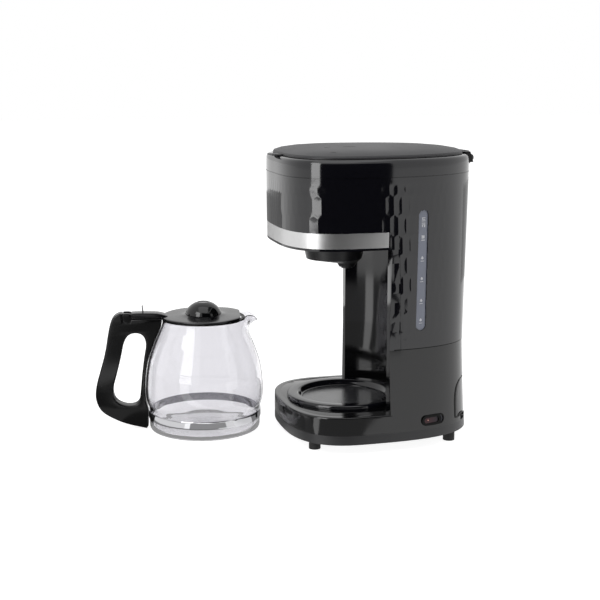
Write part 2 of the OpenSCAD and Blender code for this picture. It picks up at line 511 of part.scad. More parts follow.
module cord_grommet() color([0.05, 0.05, 0.05]) translate([cord_x, side_y(cord_x, cord_z) - wall - 7.4, cover_seam_z]) difference() {
  union() { translate([-5, 0, -wall - 3]) cube([10, 4, wall + 8.6]); translate([0, 0, cord_z - cover_seam_z]) rotate([-90, 0, 0]) cylinder(r = 2.6, h = 9, $fn = 24); }
  translate([0, -1, cord_z - cover_seam_z]) rotate([-90, 0, 0]) cylinder(r = 1.7, h = 12, $fn = 24);
}

// ---- Switch on the right side ----
module switch_bezel() color([0.02, 0.02, 0.02]) difference() {
  union() {
    at_switch() translate([-9, 0, 0]) pill(switch_l - 2.6, switch_h - 2.6, 9.2);
    // flange that lies on the curved side
    difference() { at_switch() translate([-4, 0, 0]) pill(switch_l, switch_h, 5); body(cover_seam_z, waist_z, -0.04, 5); }
  }
  at_switch() translate([-7.5, 0, 0]) pill(switch_l - 6, switch_h - 5.2, 20);
  at_switch() translate([-5, 0, -6]) cylinder(r = 0.9, h = 12, $fn = 24);
}
module switch_body() color([0.1, 0.1, 0.1]) at_switch() translate([-19, -9, -4.4]) cube([10, 18, 8.8]);
module switch_rocker() color([0.3, 0.05, 0.04]) at_switch() difference() {
  intersection() { translate([-6, 0, 0]) pill(switch_l - 6 - 1.2, switch_h - 5.2 - 2 * gap, 8.2); translate([-5, 0, -10]) cylinder(r = 9, h = 20, $fn = 48); }
  translate([-5, 0, -10]) cylinder(r = 0.9 + run, h = 20, $fn = 24);
}
module switch_pin() color([0.7, 0.7, 0.72]) at_switch() translate([-5, 0, -4.4]) cylinder(r = 0.89, h = 8.8, $fn = 24);

// ---- Carafe: handle toward -X and spout toward +X before it is turned ----
module carafe_place() translate([carafe_x, carafe_y, 0]) rotate([0, 0, carafe_turn]) children();
function arc_r(z) = carafe_r - (carafe_r - mouth_r) * pow(max(0, (z - 42)) / (glass_h - 42), 2.1);
function glass_profile(off) = concat(
  [[band_seat_r - 7 - off, off], [band_seat_r - 2.5 - off, 2 + off * 0.7], [band_seat_r - off, 7], [band_seat_r - off, carafe_band_z + carafe_band_h + 2]],
  [[carafe_r - 1.4 - off, carafe_band_z + carafe_band_h + 7], [carafe_r - off, 42]],
  [for (i = [1:10]) let (z = 42 + (glass_h - 42) * i / 10) [arc_r(z) - off, z]]);
module carafe_glass() color([0.85, 0.9, 0.92, 0.35]) carafe_place() difference() {
  union() {
    rotate_extrude($fn = 72) polygon(concat([[0, 0]], glass_profile(0), [[0, glass_h]]));
  }
  rotate_extrude($fn = 72) polygon(concat([[0, glass_t]], glass_profile(glass_t), [[mouth_r - glass_t, glass_h + 1], [0, glass_h + 1]]));
}
module carafe_spout() color([0.85, 0.9, 0.92, 0.35]) carafe_place() translate([0, 0, glass_h]) rotate([0, 0, -spout_half]) rotate_extrude(angle = 2 * spout_half, $fn = 72)
  polygon([for (q = [[0, 0], [1, 3], [3.4, 5.6], [7, 7.9], [12.4, 7.6], [12.4, 9.4], [10.4, 12.6], [7.2, 15.2], [3.4, 16.8], [-2.5, 17.4], [-5.5, 17.2],
    [-5.5, 15.4], [-2.5, 15.7], [2.8, 15], [6, 13.4], [8.6, 11], [9.3, 9.8], [6.4, 9.8], [2.4, 7], [-0.8, 4], [-2.4, 0]]) [mouth_r + q[0], q[1]]]);
spout_half = 22;
module carafe_band() color([0.85, 0.85, 0.87]) carafe_place() translate([0, 0, carafe_band_z]) {
  difference() { cylinder(r = band_seat_r + 1, h = carafe_band_h, $fn = 72); translate([0, 0, -1]) cylinder(r = band_seat_r + 0.02, h = carafe_band_h + 2, $fn = 72); translate([-band_seat_r - 5, -1, -1]) cube([10, 2, carafe_band_h + 2]); }
  for (s = [-1, 1]) difference() {
    translate([-band_seat_r - 7.5, s * 1.7 - 0.7, 0]) cube([7, 1.4, carafe_band_h]);
    translate([-band_seat_r - 4.6, -5, carafe_band_h / 2]) rotate([-90, 0, 0]) cylinder(r = 1.2, h = 10, $fn = 24);
  }
}
module carafe_clasp_screw() color([0.7, 0.7, 0.72]) carafe_place() translate([-band_seat_r - 4.6, 0, carafe_band_z + carafe_band_h / 2]) rotate([90, 0, 0]) { translate([0, 0, -3.6]) cylinder(r = 1.18, h = 6.5, $fn = 24); translate([0, 0, 2.41]) cylinder(r = 2.4, h = 1.4, $fn = 24); }
handle_x = -handle_reach;
// Rounds a run of points, or a closed loop, by cutting its corners k times.
function smooth(p, k) = k == 0 ? p : smooth(concat([p[0]], [for (i = [0:len(p) - 2]) each [0.75 * p[i] + 0.25 * p[i + 1], 0.25 * p[i] + 0.75 * p[i + 1]]], [p[len(p) - 1]]), k - 1);
function smooth_loop(p, k) = k == 0 ? p : smooth_loop([for (i = [0:len(p) - 1]) let (q = p[(i + 1) % len(p)]) each [0.75 * p[i] + 0.25 * q, 0.25 * p[i] + 0.75 * q]], k - 1);
pivot_x = -87;
pivot_z = glass_h + 13;
module carafe_handle() color([0.03, 0.03, 0.035]) carafe_place() difference() {
  union() {
    rotate([90, 0, 0]) translate([0, 0, -handle_w / 2]) linear_extrude(handle_w) difference() {
      polygon(concat([[-mouth_r - 3.6, glass_h - 2], [-mouth_r - 2.6, glass_h + 9], [-mouth_r - 6, glass_h + 11], [pivot_x + 4.6, glass_h + 11], [pivot_x + 3, glass_h + 8], [pivot_x - 4.6, glass_h + 8]],
        smooth([[pivot_x - 4.6, glass_h + 16.6], [pivot_x - 12, glass_h + 17.4], [pivot_x - 18.5, glass_h + 11], [pivot_x - 21, glass_h - 4], [handle_x + 12, 92], [handle_x + 6, 71], [handle_x + 0.8, 54],
          [handle_x - 1, 40], [handle_x + 1.4, 29], [handle_x + 7, 20.5], [handle_x + 18, 13.5], [handle_x + 33, 6.6], [-band_seat_r - 3, 0.8]], 2),
        [[-band_seat_r - 1.1, 4], [-band_seat_r - 1.1, carafe_band_z + carafe_band_h + 1], [-carafe_r - 0.3, 36], [-carafe_r - 0.5, 46], [-carafe_r + 0.6, 64], [-carafe_r + 4.2, 84], [-carafe_r + 9.6, 101], [-mouth_r - 4.8, 112]]));
      polygon(smooth_loop([[-71, 112], [-84, 112], [-91, 103], [-95, 84], [-100.5, 63], [-105.5, 46], [-102, 33], [-88, 27], [-75.5, 30], [-74, 46], [-72.4, 66], [-69.6, 86], [-66.4, 102]], 2));
    }
    // barrels that hold the lid's hinge pin
    for (s = [-1, 1]) translate([pivot_x, s * (handle_w / 2 - 1.9) - 1.9, pivot_z]) rotate([-90, 0, 0]) cylinder(r = 4, h = 3.8, $fn = 32);
    for (s = [-1, 1]) translate([pivot_x - 4, s * (handle_w / 2 - 1.9) - 1.9, glass_h + 7]) cube([8, 3.8, pivot_z - glass_h - 7]);
  }
  translate([pivot_x, -20, pivot_z]) rotate([-90, 0, 0]) cylinder(r = pin_r, h = 40, $fn = 32);
  // room for the lid's strap between the barrels
  translate([pivot_x - 5, -handle_w / 2 + 3.8 + 0, glass_h + 6]) cube([60, handle_w - 7.6, 20]);
  // pocket for the clasp of the band
  translate([-band_seat_r - 8.5, -5, carafe_band_z - 0.5]) cube([12, 10, carafe_band_h + 1]);
}
module carafe_hinge_pin() color([0.7, 0.7, 0.72]) carafe_place() translate([pivot_x, -handle_w / 2 + 0.3, pivot_z]) rotate([-90, 0, 0]) cylinder(r = pin_r - 0.01, h = handle_w - 0.6, $fn = 32);
module carafe_collar() color([0.04, 0.04, 0.045]) carafe_place() difference() {
  union() {
    translate([0, 0, glass_h]) cylinder(r = mouth_r + 1.2, h = 3, $fn = 72);
    translate([0, 0, glass_h - 2]) cylinder(r = mouth_r - glass_t - 0.05, h = 4, $fn = 72);
  }
  translate([0, 0, glass_h - 8]) cylinder(r = mouth_r - glass_t - 2.4, h = 20, $fn = 72);
  translate([mouth_r - 9, -mouth_r * sin(spout_half) - 0.6, glass_h]) cube([30, 2 * mouth_r * sin(spout_half) + 1.2, 10]);
}
module carafe_lid() color([0.05, 0.05, 0.055]) carafe_place() difference() {
  union() {
    translate([0, 0, glass_h + 3 + gap]) difference() {
      rotate_extrude($fn = 72) polygon([[0, 0], [mouth_r, 0], [mouth_r + 0.6, 1.2], [mouth_r, 3.2], [mouth_r - 8, 7.5], [mouth_r - 18, 10.6], [20.5, 12.4], [0, 12.4]]);
      translate([0, 0, -1]) rotate_extrude($fn = 72) polygon([[0, 0], [mouth_r - 3, 0], [mouth_r - 3, 2], [mouth_r - 10, 6], [mouth_r - 19, 8.6], [18, 10.4], [0, 10.4]]);
    }
    // strap to the hinge and the thumb fin
    translate([pivot_x, -handle_w / 2 + 3.8 + gap, pivot_z - 1.2]) cube([-pivot_x - mouth_r + 12, handle_w - 7.6 - 2 * gap, 3.6]);
    translate([-mouth_r - 6, -handle_w / 2 + 3.8 + gap, glass_h + 3 + gap + 3]) cube([16, handle_w - 7.6 - 2 * gap, pivot_z - glass_h - 6]);
    translate([pivot_x, -handle_w / 2 + 3.8 + gap, pivot_z]) rotate([-90, 0, 0]) cylinder(r = 3.6, h = handle_w - 7.6 - 2 * gap, $fn = 32);
    translate([-70, -3.5, pivot_z + 2]) rotate([0, -8, 0]) cube([1.8, 7, 9.5]);
  }
  translate([pivot_x, -20, pivot_z]) rotate([-90, 0, 0]) cylinder(r = pin_r + run, h = 40, $fn = 32);
  // the lid stops short of the spout, and has a hole for the brew
  translate([mouth_r - 11, -60, glass_h]) cube([30, 120, 20]);
  translate([0, 0, glass_h]) cylinder(r = 5, h = 12, $fn = 32);
}
module carafe_lid_cap() color([0.06, 0.06, 0.065]) carafe_place() translate([0, 0, glass_h + 3 + gap + 12.4]) difference() {
  rotate_extrude($fn = 48) polygon([[0, 0], [18.5, 0], [18, 3.6], [15.5, 8], [11, 11.6], [6, 13.3], [0, 13.6]]);
  translate([0, 0, -1]) cylinder(r = 3, h = 30, $fn = 24);
}

bottom_cover();
rubber_feet();
cover_screws();
lower_housing();
rear_panel();
upper_housing();
steel_band();
top_collar();
top_lid();
lid_tab();
lid_hinge_pin();
shower_plate();
water_tank();
level_window();
outlet_spout();
riser_tube();
inlet_hose();
check_valve();
hose_clips();
brew_basket();
valve_stem();
valve_seal();
valve_spring();
warming_plate();
plate_ring();
heater_tube();
heater_bracket();
thermostat();
thermal_fuse();
terminal_block();
cord_grommet();
switch_bezel();
switch_body();
switch_rocker();
switch_pin();
carafe_glass();
carafe_spout();
carafe_band();
carafe_clasp_screw();
carafe_handle();
carafe_collar();
carafe_lid();
carafe_lid_cap();
carafe_hinge_pin();
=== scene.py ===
import math
import bpy, bmesh
import numpy as np
from mathutils.bvhtree import BVHTree
from mathutils import Vector, Matrix


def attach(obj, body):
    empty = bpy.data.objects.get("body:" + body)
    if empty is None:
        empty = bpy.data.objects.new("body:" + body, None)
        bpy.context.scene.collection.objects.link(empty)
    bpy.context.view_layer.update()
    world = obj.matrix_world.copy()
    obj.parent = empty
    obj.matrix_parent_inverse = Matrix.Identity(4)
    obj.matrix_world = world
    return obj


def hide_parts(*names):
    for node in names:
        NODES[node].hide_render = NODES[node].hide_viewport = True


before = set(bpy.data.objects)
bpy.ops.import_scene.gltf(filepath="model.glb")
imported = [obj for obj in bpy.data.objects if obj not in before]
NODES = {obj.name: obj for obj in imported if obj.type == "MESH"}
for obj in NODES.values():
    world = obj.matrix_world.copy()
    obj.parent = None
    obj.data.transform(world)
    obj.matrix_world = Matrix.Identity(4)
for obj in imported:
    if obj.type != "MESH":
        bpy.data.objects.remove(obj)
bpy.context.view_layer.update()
MM = 0.001                                  # lengths are in millimetres, apart from those said to be in metres
SIDES = ((1, "right"), (-1, "left"))


# ---------------------------------------------------------------- materials
def node(nt, kind, **settings):
    """A new node, with its inputs or its properties set by name."""
    n = nt.nodes.new(kind)
    for key, value in settings.items():
        if key in n.inputs:
            n.inputs[key].default_value = value
        else:
            setattr(n, key, value)
    return n


def blank_material(name):
    """A material with nothing in it but the output: the material, its node tree and the output node."""
    m = bpy.data.materials.new(name)
    m.use_nodes = True
    m.node_tree.nodes.clear()
    return m, m.node_tree, node(m.node_tree, "ShaderNodeOutputMaterial")


def shaded_material(name):
    """A material with a Principled shader: the material, its node tree and the shader."""
    m, nt, out = blank_material(name)
    shader = node(nt, "ShaderNodeBsdfPrincipled")
    nt.links.new(shader.outputs[0], out.inputs["Surface"])
    return m, nt, shader


def own_place(nt):
    """The place on the object, in its own coordinates."""
    return node(nt, "ShaderNodeTexCoord").outputs["Object"]


def noise(nt, place, **settings):
    n = node(nt, "ShaderNodeTexNoise", **settings)
    nt.links.new(place, n.inputs["Vector"])
    return n.outputs["Fac"]


def ramp(nt, fac, a, b, lo, hi):
    """A float that runs from a to b as fac runs from lo to hi."""
    n = node(nt, "ShaderNodeMapRange", **{"From Min": lo, "From Max": hi, "To Min": a, "To Max": b})
    nt.links.new(fac, n.inputs["Value"])
    return n.outputs["Result"]


def blend(nt, fac, a, b):
    """A colour that runs from a to b as fac runs from 0 to 1."""
    n = node(nt, "ShaderNodeMix", data_type="RGBA")
    n.inputs["A"].default_value = (*a, 1)
    n.inputs["B"].default_value = (*b, 1)
    nt.links.new(fac, n.inputs["Factor"])
    return n.outputs["Result"]


def add_bump(nt, shader, height, strength, distance):
    n = node(nt, "ShaderNodeBump", Strength=strength, Distance=distance)
    nt.links.new(height, n.inputs["Height"])
    nt.links.new(n.outputs["Normal"], shader.inputs["Normal"])


def plastic(name, col, rough, spec=0.5, smear=0.05, bump=0.00002, fade=None):
    """Moulded plastic: fine grain in its bump, soft smears in its gloss, and a slightly uneven colour.

    With fade, its colour runs into a second one instead, between two places along Y in metres.
    """
    m, nt, shader = shaded_material(name)
    place = own_place(nt)
    smears = noise(nt, place, Scale=14.0, Detail=3.0, Roughness=0.6)
    grain = noise(nt, place, Scale=900.0, Detail=2.0, Roughness=0.5)
    if fade:
        far, y0, y1 = fade
        axes = node(nt, "ShaderNodeSeparateXYZ")
        nt.links.new(place, axes.inputs[0])
        base = blend(nt, ramp(nt, axes.outputs["Y"], 0.0, 1.0, y0, y1), col, far)
    else:
        base = blend(nt, smears, [c * 0.85 for c in col], [min(1, c * 1.15) for c in col])
    nt.links.new(base, shader.inputs["Base Color"])
    gloss = ramp(nt, smears, max(0.01, rough - smear), rough + smear, 0.3, 0.7)
    nt.links.new(gloss, shader.inputs["Roughness"])
    add_bump(nt, shader, grain, 0.25, bump)
    shader.inputs["Specular IOR Level"].default_value = spec
    return m


def brushed(name, col, rough):
    """Brushed metal: streaks along the sheet in its colour, gloss and bump."""
    m, nt, shader = shaded_material(name)
    stretch = node(nt, "ShaderNodeMapping")
    stretch.inputs["Scale"].default_value = (4.0, 4.0, 1040.0)
    nt.links.new(own_place(nt), stretch.inputs["Vector"])
    streaks = noise(nt, stretch.outputs["Vector"], Scale=6.0, Detail=4.0, Roughness=0.65)
    nt.links.new(blend(nt, streaks, [c * 0.86 for c in col], col), shader.inputs["Base Color"])
    smoothest, roughest = rough - min(0.05, rough * 0.4), rough + min(0.08, rough * 0.4)
    nt.links.new(ramp(nt, streaks, smoothest, roughest, 0.35, 0.65), shader.inputs["Roughness"])
    add_bump(nt, shader, streaks, 0.2, 0.00002)
    shader.inputs["Metallic"].default_value = 1.0
    return m


def glass(name, col):
    """Clear glass, here and there a little less smooth."""
    m, nt, shader = shaded_material(name)
    patches = noise(nt, own_place(nt), Scale=30.0, Detail=2.0)
    nt.links.new(ramp(nt, patches, 0.0, 0.02, 0.5, 0.8), shader.inputs["Roughness"])
    shader.inputs["Base Color"].default_value = (*col, 1)
    shader.inputs["Transmission Weight"].default_value = 1.0
    shader.inputs["IOR"].default_value = 1.47
    return m


M = {
    "shell": plastic("shell_black", (0.006, 0.006, 0.0085), 0.09, spec=0.57, smear=0.02),
    "gloss": plastic("gloss_black", (0.004, 0.004, 0.0045), 0.06, spec=0.45, smear=0.02),
    "lid": plastic("lid_satin", (0.05, 0.05, 0.053), 0.5, spec=0.3),
    "base": plastic("base_black", (0.005, 0.005, 0.0055), 0.09, spec=0.5, smear=0.02),
    "matte": plastic("matte_black", (0.012, 0.012, 0.0135), 0.4),
    "handle": plastic("handle_black", (0.003, 0.003, 0.0033), 0.16, spec=0.22, smear=0.03),
    "rubber": plastic("rubber", (0.015, 0.015, 0.015), 0.75),
    "steel": brushed("brushed_steel", (0.62, 0.62, 0.62), 0.36),
    "chrome": brushed("bright_steel", (0.62, 0.62, 0.64), 0.045),
    "plate": plastic("plate_coating", (0.045, 0.046, 0.050), 0.22, spec=0.8, bump=0.00003),
    "glass": glass("carafe_glass", (0.80, 0.795, 0.817)),
    "jug_lid": plastic("jug_lid_black", (0.006, 0.006, 0.007), 0.16, spec=0.25),
    "white": plastic("inner_white", (0.55, 0.55, 0.54), 0.4),
    "aluminium": brushed("aluminium", (0.7, 0.7, 0.7), 0.3),
    "silicone": plastic("silicone", (0.6, 0.6, 0.58), 0.5),
    # the deepest black: real black trim, and also the dark lines and patches of painted shade in seams, gaps, slots
    # and vents
    "trim_and_shade": plastic("black_trim_and_painted_shade", (0.002, 0.002, 0.002), 0.4, spec=0.12),
    "mark": plastic("gauge_white", (0.75, 0.76, 0.80), 0.4),
    "dot": plastic("pilot_lens", (0.75, 0.35, 0.28), 0.2),
    "pane": plastic("gauge_pane", (0.25, 0.27, 0.34), 0.12),
    "lens": plastic("switch_lens", (0.085, 0.032, 0.037), 0.16, spec=0.2,
                    fade=((0.030, 0.031, 0.042), 0.068, 0.086)),
}

# ---------------------------------------------------------------- the CAD's own pieces
WEAR = {                                    # the seven that pieces below stand for are not shown
    "bottom_cover": "matte", "rubber_feet": "rubber", "cover_screws": "aluminium",
    "lower_housing": "base", "rear_panel": "shell", "upper_housing": "shell", "steel_band": "steel",
    "top_collar": "shell", "top_lid": "lid", "lid_tab": "lid", "lid_hinge_pin": "aluminium",
    "shower_plate": "matte", "water_tank": "white", "level_window": "pane", "outlet_spout": "white",
    "riser_tube": "silicone", "inlet_hose": "silicone", "check_valve": "white",
    "hose_clips": "aluminium", "brew_basket": "matte", "valve_stem": "matte",
    "valve_seal": "silicone", "valve_spring": "aluminium", "warming_plate": "plate",
    "plate_ring": "shell", "heater_tube": "aluminium", "heater_bracket": "aluminium",
    "thermostat": "white", "thermal_fuse": "white", "terminal_block": "white",
    "cord_grommet": "rubber", "switch_bezel": "trim_and_shade", "switch_body": "matte",
    "switch_pin": "aluminium", "carafe_band": "chrome", "carafe_clasp_screw": "aluminium",
    "carafe_hinge_pin": "trim_and_shade",
}
BEVELS = {"lid_tab": (0.4, 2, 50), "plate_ring": (0.5, 2, 25)}     # width, segments, least angle of an edge


def bevel(o, width, segments, angle):
    b = o.modifiers.new("bevel", "BEVEL")
    b.width = width * MM
    b.segments = segments
    b.limit_method = "ANGLE"
    b.angle_limit = math.radians(angle)
    b.use_clamp_overlap = True


def split_edges(o, angle):
    """Keeps the edges sharper than the angle from shading smooth."""
    sp = o.modifiers.new("split", "EDGE_SPLIT")
    sp.split_angle = math.radians(angle)
    sp.use_edge_sharp = False


def soften(o, bevels):
    """Smooth shading over the small facets of a CAD node, with its real edges kept sharp."""
    me = o.data
    for a in [x for x in me.attributes if x.name in ("custom_normal", "sharp_face", "sharp_edge")]:
        me.attributes.remove(a)
    me.shade_smooth()
    o.modifiers.new("weld", "WELD").merge_threshold = 0.00001
    if bevels:
        bevel(o, *bevels)
    split_edges(o, 30)


for name, o in NODES.items():
    o.data.materials.clear()
    o.data.materials.append(M[WEAR.get(name, "matte")])
    soften(o, BEVELS.get(name))

# ---------------------------------------------------------------- body surface, as in the CAD source
WAIST_Z, COLLAR_Z, FOOT_H = 112.0, 298.0, 12.0
BODY, BASE = (80.5, 3.2), (74.0, 2.7)       # how far the front reaches, and the power of its curve
HALF_TURN = 720                             # steps round one half of the outline
CHORD = 1.2                                 # reach along the outline to either side that gives its direction


def up_t(z):
    return max(0.0, (z - WAIST_Z) / (COLLAR_Z - WAIST_Z))


def down_t(z):
    return max(0.0, (WAIST_Z - z) / (WAIST_Z - FOOT_H))


def half_w(z):
    return 86 + 9.5 * up_t(z) ** 1.2 + 7.5 * down_t(z) ** 1.2


def rear(z):
    return 132.5 + 8 * up_t(z) ** 1.2 + 4 * down_t(z) ** 1.2


def signed_power(v, p):
    return math.copysign(abs(v) ** p, v)


def outline_point(t, z, shape):
    """The point (x, y) of the outline at angle t and height z."""
    s, c = math.sin(t), math.cos(t)
    reach, n = shape if s < 0 else (rear(z), 2.9 - 0.8 * min(1.0, up_t(z)))
    return half_w(z) * signed_power(c, 2 / n), reach * signed_power(s, 2 / n)


_runs = {}


def run(z, shape=BODY):
    """The right half of the outline at height z, as arc lengths from the front's middle with their x and y."""
    key = (round(z, 3), shape)
    if key not in _runs:
        p = [outline_point(math.radians(-90 + 180 * i / HALF_TURN), z, shape) for i in range(HALF_TURN + 1)]
        s = [0.0]
        for a, b in zip(p, p[1:]):
            s.append(s[-1] + math.hypot(b[0] - a[0], b[1] - a[1]))
        _runs[key] = (np.array(s), np.array([q[0] for q in p]), np.array([q[1] for q in p]))
    return _runs[key]


def run_end(z):
    """The arc length at the middle of the back."""
    return float(run(z)[0][-1])


def on_body(u, z, off, shape=BODY):
    """The point at arc length u and height z, off millimetres inside the surface along its level normal."""
    s, xs, ys = run(z, shape)
    x, y = np.interp(u, s, xs), np.interp(u, s, ys)
    u0, u1 = max(0.0, u - CHORD), min(s[-1], u + CHORD)
    dx, dy = (np.interp(u1, s, v) - np.interp(u0, s, v) for v in (xs, ys))
    if u < CHORD:
        dx, dy = 1.0, 0.0
    if u > s[-1] - CHORD:
        dx, dy = -1.0, 0.0
    m = math.hypot(dx, dy)
    return (x - off * dy / m, y + off * dx / m, z)


def arc_at(y, z, shape=BODY):
    """The arc length at which the side passes y, at height z."""
    s, xs, ys = run(z, shape)
    return float(np.interp(y, ys, s))


def mirrored(points):
    return [(-x, y, z) for x, y, z in points]


# ---------------------------------------------------------------- meshes and objects
def grid_mesh(name, rows, wrap=False):
    """A mesh from rows of points, all of one length, in millimetres."""
    n = len(rows[0])
    vs = [(p[0] * MM, p[1] * MM, p[2] * MM) for r in rows for p in r]
    fs = []
    for i in range(len(rows) - 1):
        for j in range(n if wrap else n - 1):
            k = (j + 1) % n
            fs.append((i * n + j, i * n + k, (i + 1) * n + k, (i + 1) * n + j))
    me = bpy.data.meshes.new(name)
    me.from_pydata(vs, [], fs)
    return me


def written(bm, me, place=None, recalc=True):
    """Writes an edited mesh into me, turned outwards and moved to its place, and frees it."""
    if recalc:
        bmesh.ops.recalc_face_normals(bm, faces=bm.faces)
    if place is not None:
        bm.transform(place)
    bm.to_mesh(me)
    bm.free()
    return me


def cut_faces(me, unwanted, recalc):
    """Takes out of a mesh the faces that unwanted names."""
    bm = bmesh.new()
    bm.from_mesh(me)
    bmesh.ops.delete(bm, geom=[f for f in bm.faces if unwanted(f)], context="FACES")
    written(bm, me, recalc=recalc)


def solid_between(name, loop_a, loop_b):
    """A closed solid between two loops of points in millimetres, point to point."""
    bm = bmesh.new()
    a, b = ([bm.verts.new([c * MM for c in p]) for p in loop] for loop in (loop_a, loop_b))
    bm.faces.new(a)
    bm.faces.new(b[::-1])
    for i in range(len(a)):
        k = (i + 1) % len(a)
        bm.faces.new((a[i], b[i], b[k], a[k]))
    return written(bm, bpy.data.meshes.new(name))


def add(name, me, mat, body, smooth=True, split=None):
    """An object from a mesh, which rides on a body of the frame."""
    o = bpy.data.objects.new(name, me)
    bpy.context.scene.collection.objects.link(o)
    me.materials.append(mat)
    if smooth:
        me.shade_smooth()
    if split:
        split_edges(o, split)
    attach(o, body)
    return o


def catmull(p, n):
    """A smooth run through the points p, n steps to each stretch."""
    out = []
    for i in range(len(p) - 1):
        near = p[max(0, i - 1)], p[i], p[i + 1], p[min(len(p) - 1, i + 2)]
        for k in range(n):
            t = k / n
            out.append(tuple(0.5 * (2 * b + (c - a) * t + (2 * a - 5 * b + 4 * c - d) * t * t
                                    + (3 * b - a - 3 * c + d) * t ** 3)
                             for a, b, c, d in zip(*near)))
    return out + [tuple(p[-1])]


def on_circle(n):
    """Cosine and sine of n even steps round a circle."""
    return [(math.cos(2 * math.pi * i / n), math.sin(2 * math.pi * i / n)) for i in range(n)]


# ---------------------------------------------------------------- honeycomb of the head and column
PITCH, ROW = 9.65, 21.4                     # width of a cell, height of a row
TIP = 3.2                                   # height of the zigzag between two rows
ROW0 = 140.4                                # middle height of row 0
CELL_DEPTH, CELL_RISE = 0.34, 9.0           # depth of a cell, and how far from its ends it gets to that
SKIN = -0.36                                # the skin lies this much outside the CAD's surface
SKIN_TOP, SKIN_LOW = 297.9, 112.6
OVER_BAND, BESIDE_BAND = 240.95, 222.1      # lowest edge of the front and of the cheek
FRONT_Y, CHEEK_Y, SIDE_Y = 21.05, 30, 100   # where the front, the cheek and the side end
SEAMS = [(ROW0 + r * ROW + ROW / 2, r) for r in range(-1, 7)]     # zigzags at 129.7 ... 279.5, with their rows
WINDOW_Y, WINDOW_R, WINDOW_Z = 61, 5.6, (132.0, 263.0)            # the water gauge on the right side
WINDOW_CLEAR = 0.9                          # the skin's opening reaches this much past it
U_STEP, ROW_STEP = PITCH / 12, 1.5          # how fine the skin's mesh is, along and up
REAR_STEPS, REAR_ROWS = 40, 39              # and that of the plain back


def past_middle(u, r):
    """How far u is from the middle of the nearest cell of row r, as a part of a cell's width."""
    c = (u / PITCH - (0.5 if r % 2 == 0 else 0.0)) % 1.0
    return min(c, 1 - c)


def seam_z(u, r):
    """The height of the zigzag over row r: up at that row's cells, down between them."""
    return ROW0 + r * ROW + ROW / 2 + TIP / 2 * (1 - 4 * past_middle(u, r))


def smooth_step(v, a, b):
    t = min(1.0, max(0.0, (v - a) / (b - a)))
    return t * t * (3 - 2 * t)


def cell_fade(y, z):
    """How much of a cell's depth is left at a place."""
    fade = smooth_step(z, 120.5, 126) * (1 - smooth_step(z, 287.5, 292))          # none at the lower and upper end
    fade *= 1 - 0.72 * smooth_step(y, 44, 60)                                     # little on the back half
    fade *= 1 - smooth_step(y, 86, 96)                                            # none where the plain back starts
    fade *= 1 - 0.45 * smooth_step(y, -30, -12) * (1 - smooth_step(y, 8, 20))     # less about the side's middle
    fade *= 0.2 + 0.8 * smooth_step(y, -74, -40)                                  # faint on the front
    return fade


def dish(u, z, y):
    """How deep a honeycomb cell is at a place."""
    r = math.floor((z - ROW0 + ROW / 2 + TIP / 2 + 1e-6) / ROW)
    if z > seam_z(u, r) + 1e-6:
        r += 1
    elif z < seam_z(u, r - 1) - 1e-6:
        r -= 1
    from_side = 1 - 2 * past_middle(u, r)
    from_ends = min(seam_z(u, r) - z, z - seam_z(u, r - 1)) / CELL_RISE
    e = max(0.0, min(from_side, from_ends, 1.0))
    return CELL_DEPTH * (1 - (1 - e) ** 2) * cell_fade(y, z)


def honeycomb(name, z_low, u0, u1, side):
    """The skin from z_low up and between two arc lengths: level at both ends, zigzag at the seams between."""
    nu = max(2, int(round((u1 - u0) / U_STEP)))
    us = [u0 + (u1 - u0) * i / nu for i in range(nu + 1)]
    knots = [(z_low, None)] + [k for k in SEAMS if k[0] > z_low] + [(SKIN_TOP, None)]
    rows = []
    for a, b in zip(knots, knots[1:]):
        za, zb = ([z if r is None else seam_z(u, r) for u in us] for z, r in (a, b))
        n = max(3, int(round((b[0] - a[0]) / ROW_STEP)))
        for i in range(n + 1 if b is knots[-1] else n):
            row = []
            for u, low, high in zip(us, za, zb):
                z = low + (high - low) * (i / n)
                z_run = round(z * 4) / 4                # few enough outlines to keep them all
                y = on_body(u, z_run, 0)[1]
                p = on_body(u, z_run, SKIN + dish(u, z, y))
                row.append((side * p[0], p[1], z))
            rows.append(row if side > 0 else row[::-1])
    return grid_mesh(name, rows)


def skin_side(side, tag):
    """One half of the skin: the front over the steel band, the cheek beside it, and the side."""
    u_front = max(arc_at(FRONT_Y, z) for z in (241, 297))
    u_cheek = max(arc_at(CHEEK_Y, z) for z in (222, 297))
    u_side = arc_at(SIDE_Y, 200)
    return [honeycomb("skin_%s_%s" % (part, tag), z_low, u0, u1, side) for part, z_low, u0, u1 in (
        ("front", OVER_BAND, 0.0, u_front),
        ("cheek", BESIDE_BAND, u_front, u_cheek),
        ("side", SKIN_LOW, u_cheek, u_side))]


def plain_rear():
    """The smooth back of the column, from one side round to the other."""
    u0 = arc_at(SIDE_Y, 200)
    rows = []
    for i in range(REAR_ROWS + 1):
        z = SKIN_LOW + (SKIN_TOP - SKIN_LOW) * i / REAR_ROWS
        half = [on_body(u0 + (run_end(z) - u0) * j / REAR_STEPS, z, SKIN) for j in range(REAR_STEPS + 1)]
        rows.append(half + mirrored(half[-2::-1]))
    return grid_mesh("skin_rear", rows)


def in_window(face):
    """Whether a face lies in the round-ended opening of the water gauge."""
    w = WINDOW_R + WINDOW_CLEAR
    for x, y, z in ([c / MM for c in v.co] for v in face.verts):
        if x < 0 or abs(y - WINDOW_Y) > w or z < WINDOW_Z[0] - WINDOW_CLEAR or z > WINDOW_Z[1] + WINDOW_CLEAR:
            return False
        for z_end, up in ((WINDOW_Z[0] + WINDOW_R, -1), (WINDOW_Z[1] - WINDOW_R, 1)):
            if (z - z_end) * up > 0 and (y - WINDOW_Y) ** 2 + (z - z_end) ** 2 >= w * w:
                return False
    return True


